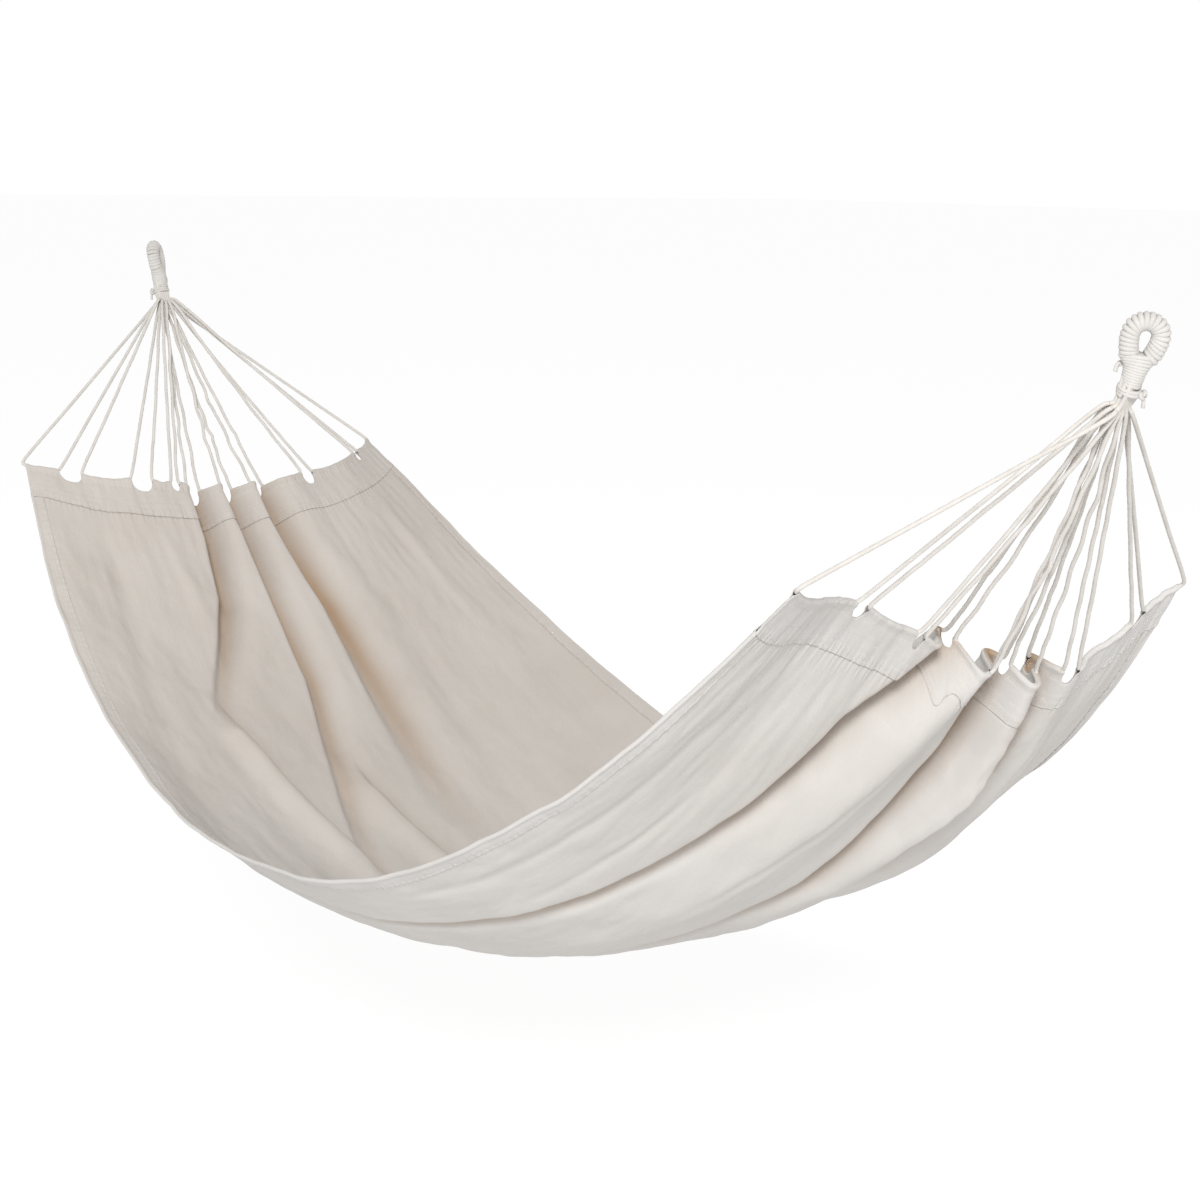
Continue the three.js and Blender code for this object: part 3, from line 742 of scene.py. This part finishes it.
def kinked(points, slack, seed):
    """The limp strands keep small waves and kinks from being knotted and folded."""
    rng = np.random.default_rng(seed)
    total = line_length(points)
    gone = np.linspace(0, total, len(points))
    tangents, normals = carried_normals(points)
    limp = min(1.0, slack / KINKS["limp_slack"])
    shift = np.zeros((len(points), 2))
    for _ in range(rng.integers(3, 7)):
        centre = rng.uniform(KINKS["clear"], total - KINKS["clear"])
        width = rng.uniform(*KINKS["width"])
        heading = rng.uniform(0, tau)
        height = rng.uniform(*KINKS["height"]) * limp
        bump = height * np.exp(-((gone - centre) / width) ** 2)
        shift += bump[:, None] * np.array([cos(heading), sin(heading)])
    for axis in (0, 1):
        wavelength = rng.uniform(*KINKS["wavelength"])
        phase = rng.uniform(0, 6)
        shift[:, axis] += KINKS["wave"] * limp * np.sin(tau * gone / wavelength + phase)
    return points + normals * shift[:, :1] + np.cross(tangents, normals) * shift[:, 1:]


def cord_line(end, knot, places, k, seed):
    tab = tab_route(end, k)
    down = strand_route(knot, places[2 * k], tab[0])
    up = strand_route(knot, places[2 * k + 1], tab[-1])[::-1]
    line = spline([*down, *tab, *up], CORD_STEP)
    limp = (places[2 * k][1] + places[2 * k + 1][1]) / 2
    wavy = kinked(line, limp, seed)
    gone = np.linspace(0, line_length(line), len(line))
    tab_start, tab_stop = (
        gone[np.argmin(np.linalg.norm(line - point, axis=1))] for point in (tab[0], tab[-1])
    )
    from_tab = np.maximum(np.maximum(tab_start - gone, gone - tab_stop), 0)
    share = np.clip(np.minimum.reduce([gone, gone[-1] - gone, from_tab]) / STRAND_ENDS, 0, 1)[:, None]
    return line + (wavy - line) * share * share * (3 - 2 * share)


PLACES = {letter: knot_places(end, KNOTS[letter]) for letter, end in ENDS.items()}

for letter, end in ENDS.items():
    for k in range(len(end["notches"]) + 1):
        line = cord_line(end, KNOTS[letter], PLACES[letter], k, seed=20 * ord(letter) + k)
        cord = make_piece(f"cord_{letter}{k + 1}", tube(line, **CORD_ROPE), ROPE)
        dress(cord, "sling", "cotton_cord", f"suspension_cord_{letter}{k + 1}")

# ---------- bed

PLY = 0.0009
SEAM_LAP = 0.002  # how far the bed runs on between the plies of its hems
SIDE_LAP = 0.003  # the same at the side hems, as a share of the width
BED_GRID = (400, 440)  # points along and across

VALLEY_AT_A, VALLEY_AT_B = 0.52, 0.95  # strength of the painted shade in the valleys of each end
PAINTED_INNER_SHADE = 0.22  # painted warm shade on the side seen from within, stronger towards end A, for light bounced inside the bed
# strength of the painted shade along the far foot of each ridge of end A
PAINTED_RIDGE_FOOT_SHADE = 0.22
# The crisp folds again, as painted shade that is full where they are more than a few millimetres deep.
VALLEYS = [
    [(at, place, min(1, abs(deep) / 0.016), width) for at, place, deep, width in fold]
    for fold in CRISP_FOLDS
]
# The painted shade that lies along the far foot of each ridge of end A.
CREST_EDGES = [
    [(at, place + width, abs(deep) / 0.02, width * 0.8) for at, place, deep, width in fold]
    for fold in CREST_FOLDS
]
# Soft painted shade in the wide hollow beyond the last crisp fold of end A.
PAINTED_HOLLOW_SHADES = [
    [(-1, 0.565, 0.08, 0.02), (-0.85, 0.575, 0.22, 0.022), (-0.6, 0.585, 0.22, 0.024),
     (-0.2, 0.56, 0, 0.03)],
]


# How the painted shade at end A falls off across a crisp fold.
def valley_profile(beside):
    return crisp_fold(beside) ** 3.4


def open_valley(beside):
    """At end B the painted shade reaches up both walls of a valley."""
    return np.exp(-(beside / np.where(beside < 0, 0.95, 0.8)) ** 2)


def painted_shade_share(t, w):
    """Strength of the painted shade, by how far down in a valley: above 0 if it opens inwards, as at
    end A, and below 0 at end B.
    """
    # painted warm shade on the inner side, growing towards end A
    hollow = PAINTED_INNER_SHADE * np.clip(0.5 - t, 0, 1)
    at_a = VALLEY_AT_A * fold_depth(VALLEYS, t, w, valley_profile) + fold_depth(PAINTED_HOLLOW_SHADES, t, w)
    at_b = VALLEY_AT_B * fold_depth(VALLEYS, t, w, open_valley)
    foot = PAINTED_RIDGE_FOOT_SHADE * fold_depth(CREST_EDGES, t, w)
    towards_b = np.clip((t + 0.2) / 0.3, 0, 1)
    return np.clip(hollow + at_a * (1 - towards_b) - at_b * towards_b + foot, -1, 1)


def cloth_part(t, w, height, faces):
    """A grid of cloth at a height over its middle surface; its uv is its flat place in metres."""
    points = cloth(t, w) + outward(cloth, t, w) * height[..., None]
    flat = np.stack([w * FLAT_WIDTH, t * FLAT_HALF_LENGTH + 1.0], axis=-1).reshape(-1, 2)
    return points.reshape(-1, 3), faces, flat[faces.reshape(-1)]


def make_bed():
    rows, columns = BED_GRID
    across = np.linspace(SIDE_HEM - SIDE_LAP, 1 - SIDE_HEM + SIDE_LAP, columns)
    start, stop = (hem_t(end, across, HEM["depth"] - SEAM_LAP) for end in ENDS.values())
    t = start + (stop - start) * np.linspace(0, 1, rows)[:, None]
    w = np.broadcast_to(across, t.shape)
    part = cloth_part(t, w, np.zeros_like(t), grid_faces(*t.shape))
    piece = make_piece("bed_cloth", part, CANVAS, painted_shade_share(t, w))
    thicken(piece, PLY)
    return dress(piece, "sling", "canvas", "canvas_bed")


bed_cloth = make_bed()

# ---------- end hems

STITCH_ROWS = [0.0205, 0.0235, 0.047, 0.059, 0.0695, 0.0725]  # from the open edge
HEM_ROWS = np.array([
    0, 0.6, 1.4, 2.6, 4.2, 6, 8, 10, 12, 14, 16, 18, 19.6, 20.5, 21.4, 22.6, 23.5, 24.4, 27, 31, 35,
    39, 43, 46, 47, 48, 51, 55, 58, 59, 60, 63, 66, 68.6, 69.5, 70.4, 71.6, 72.5, 73.4, 75,
]) * 0.001
HEM_COLUMNS = 420
NOTCH_COLUMNS = 41
TUNNEL_HALF = 0.0031  # half distance between the plies over the cord
TUNNEL_FADE = 0.0048
HEM_FLAT = 0.0011  # half distance between the plies away from the cord
STITCH_PULL = 0.0004  # how far a row of stitches draws each ply in
OVER_SIDE_HEM = 0.0018  # what the side hem adds where it runs under the end hem
CORD_COVER = 0.0055  # the cloth of a tab reaches this far out over the turns of its cord


def cord_place(end, w):
    """Distance of the cord from the CAD's open edge at each place across."""
    towards_end = np.ones_like(w)
    for k in range(len(end["notches"]) + 1):
        start, stop, _, _ = tab_span(end, k)
        share = (w - start) / (stop - start)
        towards_end = np.where((share > 0) & (share < 1), (2 * share - 1) ** 2, towards_end)
    return channel_place(towards_end)


def hem_half(end, w, from_edge):
    """Half distance between the plies: round over the cord, and drawn in by the stitches."""
    from_side = np.minimum(w, 1 - w) * FLAT_WIDTH
    beyond = from_edge - np.interp(w, ACROSS, cord_place(end, ACROSS))
    over_side_hem = np.clip((from_edge - 0.062) / 0.01, 0, 1)
    near_side = np.clip(1 - from_side / (SIDE_HEM * FLAT_WIDTH), 0, 1) ** 0.5
    flat = HEM_FLAT + OVER_SIDE_HEM * near_side * over_side_hem
    for row in STITCH_ROWS:
        flat = flat - STITCH_PULL * np.exp(-((from_edge - row) / 0.0012) ** 2)
    before_cord = TUNNEL_HALF * np.sqrt(np.clip(1 - (beyond / TUNNEL_HALF) ** 2, 0, 1))
    after_cord = flat + (TUNNEL_HALF - flat) * np.exp(-((beyond / TUNNEL_FADE) ** 2))
    half = np.where(beyond < 0, before_cord, after_cord)
    inside = np.maximum(from_edge - notch_depth(end, w), 0)
    inside = np.where(beyond > 0.0045, np.minimum(inside, from_side), 1)
    return half * (0.4 + 0.6 * np.clip(inside / 0.003, 0, 1) ** 0.5)


def cloth_notches(end):
    """Middle and half width of each notch in the cloth, as shares of the width."""
    return [
        (notch, (half - CORD_COVER) * hem_step(end, notch))
        for notch, half in zip(end["notches"], end["notch_halves"])
    ]


def notch_depth(end, w):
    """How far the open edge is cut back: the tabs hug their cords."""
    depth = np.zeros_like(w)
    for number, (notch, half) in enumerate(cloth_notches(end)):
        x = np.clip(np.abs(w - notch) / half, 0, 1)
        deep = HEM["notch_depth"] * (1 + 0.12 * sin(2.3 * number))
        depth = depth + deep * np.sqrt(1 - x**2.6)
    edge = np.interp(w, ACROSS, cord_place(end, ACROSS)) - TUNNEL_HALF
    return np.maximum(depth, edge)


def hem_columns(end):
    """Even columns, and more of them where the sides of a notch run steeply."""
    steep = np.sin(np.linspace(-pi / 2, pi / 2, NOTCH_COLUMNS))
    columns = [notch + half * steep for notch, half in cloth_notches(end)]
    columns = np.unique(np.concatenate([np.linspace(0, 1, HEM_COLUMNS), *columns]).round(5))
    return columns[np.concatenate([[True], np.diff(columns) > 0.00012])]


def make_end_hem(letter):
    end = ENDS[letter]
    columns = hem_columns(end)
    cut = notch_depth(end, columns)
    w = np.broadcast_to(columns, (len(HEM_ROWS), len(columns)))
    from_edge = cut + (HEM["depth"] - cut) * HEM_ROWS[:, None] / HEM["depth"]
    t, half = hem_t(end, w, from_edge), hem_half(end, w, from_edge)
    plies = [cloth_part(t, w, side * half, grid_faces(*w.shape)[:, ::side]) for side in (-1, 1)]
    # painted shade of the folds, the same for both plies
    valley = np.tile(painted_shade_share(t, w).ravel(), len(plies))
    piece = make_piece(f"end_hem_{letter}_cloth", join(plies), HEM_CLOTH, valley)
    weld = piece.modifiers.new("fold", "WELD")  # joins the plies along the folded edge of each tab
    weld.merge_threshold = 0.00005
    thicken(piece, PLY)
    return dress(piece, "sling", "hem_canvas", f"end_hem_{letter}")


# ---------- stitches

STITCH = {"length": 0.003, "pitch": 0.0041, "half_width": 0.00042, "height": 0.00035}
# One stitch as a small bead: rings along it as (share of the length, share of the size).
BEAD = [(-0.5, 0.35), (-0.32, 0.95), (0.32, 0.95), (0.5, 0.35)]
STITCH_POINTS = {"end": 900, "side": 1500}  # points on the line of a row, at each kind of hem


def stitches(points, normals):
    """Beads of thread along a line on the cloth."""
    gone = gone_along(points)
    at = np.arange(STITCH["pitch"], gone[-1] - STITCH["pitch"] / 2, STITCH["pitch"])
    centre = at_lengths(at, gone, points)
    along = unit(at_lengths(at + 0.001, gone, points) - centre)
    lift = unit(at_lengths(at, gone, normals))
    beside = np.cross(lift, along)
    rings = []
    for place, size in BEAD:
        middle = centre + along * place * STITCH["length"]
        for angle in (0, pi / 2, pi, -pi / 2):
            sideways = beside * cos(angle) * STITCH["half_width"]
            upwards = lift * sin(angle) * STITCH["height"]
            rings.append(middle + (sideways + upwards) * size)
    beads = np.stack(rings, axis=1).reshape(len(at), len(BEAD), 4, 3)
    return join([capped(bead) for bead in beads])


def make_stitches(name, runs):
    """The thread along runs of (t, w, half distance between the plies), on both faces of a hem."""
    rows = []
    for t, w, half in runs:
        for side in (-1, 1):
            normals = outward(cloth, t, w) * side
            rows.append(stitches(cloth(t, w) + normals * (half + PLY / 2)[:, None], normals))
    return dress(make_piece(name, join(rows), THREAD), "sling", "hem_canvas")


def make_hem_stitches(letter):
    end = ENDS[letter]
    w = np.linspace(0.004, 0.996, STITCH_POINTS["end"])
    runs = []
    for row in STITCH_ROWS:
        line = np.stack([hem_t(end, w, row), w, hem_half(end, w, row)])
        clear = notch_depth(end, w) < row - 0.0015
        for run in np.split(np.arange(len(w)), np.flatnonzero(np.diff(clear.astype(int))) + 1):
            if clear[run[0]] and len(run) > 8:
                runs.append(line[:, run])
    return make_stitches(f"end_hem_{letter}_stitches", runs)


# ---------- side hems

SIDE_ROWS = np.array([
    0, 0.5, 1.2, 2.2, 3.5, 5, 7, 10, 13, 16, 19, 21.4, 22.3, 23.2, 24.5, 25.4, 26.3, 27.3,
]) * 0.001
SIDE_STEPS = 520
SIDE_STITCHES = [0.0223, 0.0254]


def side_half(from_side):
    """Half distance between the plies of a side hem: a rolled edge, then flat to the stitches."""
    roll = 0.0021 * np.sqrt(np.clip(1 - np.abs(from_side / 0.0035 - 1) ** 2, 0, 1))
    flat = HEM_FLAT * np.clip(from_side / 0.004, 0, 1)
    for row in SIDE_STITCHES:
        flat = flat - STITCH_PULL * np.exp(-((from_side - row) / 0.0011) ** 2)
    return np.maximum(roll, flat)


def side_w(far, from_side):
    w = from_side / FLAT_WIDTH
    return 1 - w if far else w


def side_reach(far):
    edge = np.array([0.99 if far else 0.01])
    return (float(hem_t(end, edge, HEM["depth"] - SEAM_LAP)[0]) for end in ENDS.values())


def make_side_hem(name, far):
    t = np.linspace(*side_reach(far), SIDE_STEPS)[:, None]
    from_side = np.concatenate([SIDE_ROWS[::-1], SIDE_ROWS[1:]])
    face = np.sign(np.arange(len(from_side)) - len(SIDE_ROWS) + 1)  # inner ply, rolled edge, outer ply
    t, from_side, face = np.broadcast_arrays(t, from_side, face)
    w = side_w(far, from_side)
    part = cloth_part(t, w, face * side_half(from_side), grid_faces(*t.shape))
    piece = make_piece(f"side_hem_{name}_cloth", part, HEM_CLOTH, painted_shade_share(t, w))
    thicken(piece, PLY)
    return dress(piece, "sling", "hem_canvas", f"side_hem_{name}")


def make_side_stitches(name, far):
    t = np.linspace(*side_reach(far), STITCH_POINTS["side"])
    runs = [(t, side_w(far, row) + 0 * t, side_half(row) + 0 * t) for row in SIDE_STITCHES]
    return make_stitches(f"side_hem_{name}_stitches", runs)


hems = []
for letter in ENDS:
    hems += [make_end_hem(letter), make_hem_stitches(letter)]
for name, far in (("near", False), ("far", True)):
    hems += [make_side_hem(name, far), make_side_stitches(name, far)]

# ---------- rope eyes

SERVED_ABOVE = -0.0262  # the serving runs over the crown and down the legs to this height
SERVING_PITCH = 0.0043
SERVING_WIRE = 0.0031  # the turns are squashed together, so only the top of each wire shows
SERVING_SLANT = 0.0016
SERVING_WOBBLE = 0.5
WHIPPING_PITCH = 0.0028
WHIPPING_WIRE = 0.0026
WIRE_STEP = 0.0012
EYE_STRANDS = {"radius": EYE["core_radius"], "sides": 36, "lobes": 9, "lobe_depth": 0.16, "lay": 0.09}
HITCH_ROPE = {"sides": 9, "lobes": 3, "lobe_depth": 0.15, "lay": 0.03}


def eye_matrix(letter):
    sign = ENDS[letter]["sign"]
    origin = Matrix.Translation((HALF_SPAN + sign * HALF_SPAN, 0, 0))
    lean = Matrix.Rotation(sign * EYE["lean"], 4, "Y")
    turn = Matrix.Rotation(sign * EYE["turn"], 4, "Z")
    return np.array(origin @ lean @ turn)


def placed(matrix, points):
    return points @ matrix[:3, :3].T + matrix[:3, 3]


def make_eye_piece(name, letter, part, material, slot, *nodes):
    """A part in the frame of its eye, as a piece that swings with the eye."""
    vertices, faces, uv = part
    piece = make_piece(f"{name}_{letter}", (placed(eye_matrix(letter), vertices), faces, uv), material)
    dress(piece, f"loop_{letter}", slot, *nodes)


def eye_line():
    """Centre line of the eye from one leg over the crown to the other."""
    crown = EYE["hole_width"] / 2 + EYE["rope_radius"]
    centre_z = EYE["rope_radius"] - crown
    arc = [(crown * cos(a), centre_z + crown * sin(a)) for a in np.linspace(0, pi, 9)]
    stations = [*LEG, *arc, *[(-x, z) for x, z in LEG[::-1]]]
    return spline([(x, 0, z) for x, z in stations], 0.0005)


def make_serving(letter):
    """Close turns of cord over the crown and down both legs."""
    rng = np.random.default_rng(ord(letter))
    line = eye_line()
    line = even(line[line[:, 2] > SERVED_ABOVE], 0.0001)
    tangents, _ = carried_normals(line)
    beside = np.array([0.0, 1.0, 0.0]) + 0 * line
    inwards = np.cross(tangents, beside)
    gone = np.linspace(0, line_length(line), len(line))

    def wander(count):
        return np.interp(gone, np.linspace(0, gone[-1], count), rng.uniform(-1, 1, count))

    angle = tau * gone / SERVING_PITCH + SERVING_WOBBLE * wander(24)
    far = (EYE["rope_radius"] - SERVING_WIRE) * (1 + 0.03 * wander(40))
    wire = line + (np.cos(angle) * far)[:, None] * inwards + (np.sin(angle) * far)[:, None] * beside
    wire = wire + (SERVING_SLANT * np.sin(angle + 0.7))[:, None] * tangents
    turns = tube(even(wire, WIRE_STEP), SERVING_WIRE, sides=9)
    make_eye_piece("serving_turns", letter, turns, SERVING, "serving_cord", f"eye_serving_{letter}")


def make_core(letter):
    """The bundle of cords inside the eye."""
    bundle = tube(eye_line(), **EYE_STRANDS)
    make_eye_piece("eye_strands", letter, bundle, ROPE, "cotton_cord", f"eye_core_{letter}")


# The neck under its whipping, as (height, half width in the plane of the eye, half depth).
NECK = [
    (-0.0235, 0.0208, 0.0096), (-0.0265, 0.0194, 0.0101), (-0.03, 0.0168, 0.0105),
    (-0.034, 0.014, 0.0108), (-0.038, 0.0121, 0.011), (-0.044, 0.011, 0.0109),
    (-0.052, 0.0102, 0.0103), (-0.0575, 0.0096, 0.0098),
]
NECK_GRID = (24, 32)  # rings and points round each


def neck_size(height):
    at, wide, deep = (np.array(column)[::-1] for column in zip(*NECK))
    return np.interp(height, at, wide), np.interp(height, at, deep)


def make_whipping(letter):
    """Thin turns from the throat down the neck; those at the throat run aslant."""
    top, bottom = NECK[0][0] - 0.0015, NECK[-1][0]
    turns = (top - bottom) / WHIPPING_PITCH
    angle = np.linspace(0, tau * turns, int(turns * 48))
    height = np.linspace(top, bottom, len(angle))
    slant = 0.0032 * np.clip((height + 0.036) / 0.01, 0, 1)
    wide, deep = (half - WHIPPING_WIRE * 0.7 for half in neck_size(height))
    wire = [wide * np.cos(angle), deep * np.sin(angle), height + slant * np.cos(angle + 0.6)]
    turns = tube(even(np.stack(wire, axis=-1), WIRE_STEP), WHIPPING_WIRE, sides=10)
    part = join([turns, neck_body()])
    make_eye_piece("whipping_turns", letter, part, SERVING, "serving_cord", f"neck_whipping_{letter}")


def neck_body():
    """The solid of the neck that the turns lie on."""
    rows, sides = NECK_GRID
    height = np.linspace(NECK[-1][0], NECK[0][0], rows)[:, None]
    around = np.linspace(0, tau, sides, endpoint=False)
    wide, deep = neck_size(height)
    rings = [wide * np.cos(around), deep * np.sin(around), height + 0 * around]
    return capped(np.stack(rings, axis=-1))


def overhand(centre, size, axis):
    """A small overhand knot, as a trefoil."""
    a = np.linspace(0, tau, 60)
    knot = [np.sin(a) + 2 * np.sin(2 * a), np.cos(a) - 2 * np.cos(2 * a), -1.2 * np.sin(3 * a)]
    turn = np.array(Vector((0, 0, 1)).rotation_difference(Vector(axis)).to_matrix())
    return np.asarray(centre) + size / 3 * np.stack(knot, axis=-1) @ turn.T


HITCH_TURN = {"a": radians(-70), "b": 0.0}  # where the small knot sits round each neck
# The cut ends of the hitches, from where they leave the neck.
TAIL = [(0.015, -0.004, -0.0655), (0.0166, -0.005, -0.069), (0.0172, -0.0055, -0.0745)]
STUB = [
    (-0.0125, 0.004, -0.04), (-0.0152, 0.005, -0.0375), (-0.017, 0.006, -0.041),
    (-0.0172, 0.006, -0.0475),
]


def make_hitches(letter):
    """The collar under the whipping: turns of doubled cord, a small knot and the cut ends."""
    bottom = -EYE["whipping_bottom"]
    round_neck = np.array(Matrix.Rotation(HITCH_TURN[letter], 3, "Z")).T
    angle = np.linspace(0.3, 0.3 + tau * 2.6, 130)
    height = np.linspace(bottom - 0.0012, bottom - 0.0095, len(angle)) + 0.0012 * np.sin(angle)
    far = 0.0102 + 0.0005 * np.sin(2.3 * angle)
    collar = np.stack([far * np.cos(angle), far * np.sin(angle), height], axis=-1)
    knot = overhand((0.014, -0.004, bottom - 0.006), 0.0042, (0.9, -0.4, -0.1))
    part = join([
        tube(even(collar, WIRE_STEP), 0.0023, **HITCH_ROPE),
        tube(even(knot @ round_neck, 0.001), 0.0021, sides=8),
        tube(spline(TAIL, 0.001) @ round_neck, 0.0021, **HITCH_ROPE),
        tube(spline(STUB, 0.001), 0.0023, **HITCH_ROPE),
    ])
    make_eye_piece("neck_hitches", letter, part, SERVING, "serving_cord")


def make_neck_strands(letter):
    """The strands from the whipping to the free cords."""
    knot = KNOTS[letter]
    down, sideways, off_plane = bundle_axes(ENDS[letter], knot)
    neck_end = np.array([0, 0, -EYE["whipping_bottom"] + 0.006])
    axis = placed(eye_matrix(letter), neck_end) - knot
    strands = []
    for direction, _ in PLACES[letter].values():
        beside, layer = sideways * (direction @ sideways), off_plane * (direction @ off_plane)
        inner = knot + axis + beside * 0.0105 + layer * 0.0165
        waist = knot + axis * 0.45 + beside * 0.0112 + layer * 0.016
        near_end = knot + direction * (EYE["knot_radius"] - 0.004)
        outer = knot + direction * (EYE["knot_radius"] + CORD["knot_gap"] + 0.0008)
        strands.append(tube(spline([inner, waist, near_end, outer], 0.0012), **CORD_ROPE))
    piece = make_piece(f"neck_strands_{letter}", join(strands), ROPE)
    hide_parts(f"neck_knot_{letter}")
    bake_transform(piece)


for letter in ENDS:
    make_serving(letter)
    make_core(letter)
    make_whipping(letter)
    make_hitches(letter)
    make_neck_strands(letter)

# ---------- floor, light and world


def make_floor():
    half, floor_z = 80, cad_box[0][2] - 0.35
    corners = [(x * half, y * half, floor_z) for x, y in ((-1, -1), (1, -1), (1, 1), (-1, 1))]
    white = Shader("floor").finish({
        "Base Color": (0.24, 0.24, 0.24, 1), "Roughness": 1.0, "Specular IOR Level": 0.0,
        "Emission Color": (1, 1, 1, 1), "Emission Strength": 0.82,
    })
    make_piece("floor", (corners, [[0, 1, 2, 3]], None), white)


def make_key_light(place, target, size, power):
    data = bpy.data.lights.new("key", "AREA")
    data.size = size
    data.energy = power
    light = bpy.data.objects.new("key", data)
    light.location = place
    light.rotation_euler = (Vector(target) - Vector(place)).to_track_quat("-Z", "Y").to_euler()
    SCENE.collection.objects.link(light)


def make_world(at_horizon, overhead, front):
    """A white studio with a dimmer ceiling, and a dimmer front where the camera stands."""
    world = bpy.data.worlds.new("studio")
    world.use_nodes = True
    sky = Nodes(world.node_tree)
    direction = sky.add("ShaderNodeTexCoord", {}).outputs["Generated"]
    upwards = sky.add("ShaderNodeSeparateXYZ", {0: direction}).outputs["Z"]
    by_height = sky.spread(upwards, 0.3, 0.75, at_horizon, overhead, interpolation_type="SMOOTHSTEP")
    ahead = (cos(CAMERA_HEADING), sin(CAMERA_HEADING), 0)
    facing = sky.vectors("DOT_PRODUCT", direction, ahead)["Value"]
    strength = sky.maths("MULTIPLY", by_height, sky.spread(facing, -0.9, 0.1, front, 1.0))
    sky.fill(world.node_tree.nodes["Background"], {"Color": (1, 1, 1, 1), "Strength": strength})
    SCENE.world = world


make_floor()
make_key_light((6.0, -4.3, 3.1), (HALF_SPAN, 0, -0.6), 1.5, 470)
make_world(1.0, 0.58, 0.8)
SCENE.view_settings.view_transform = "Standard"
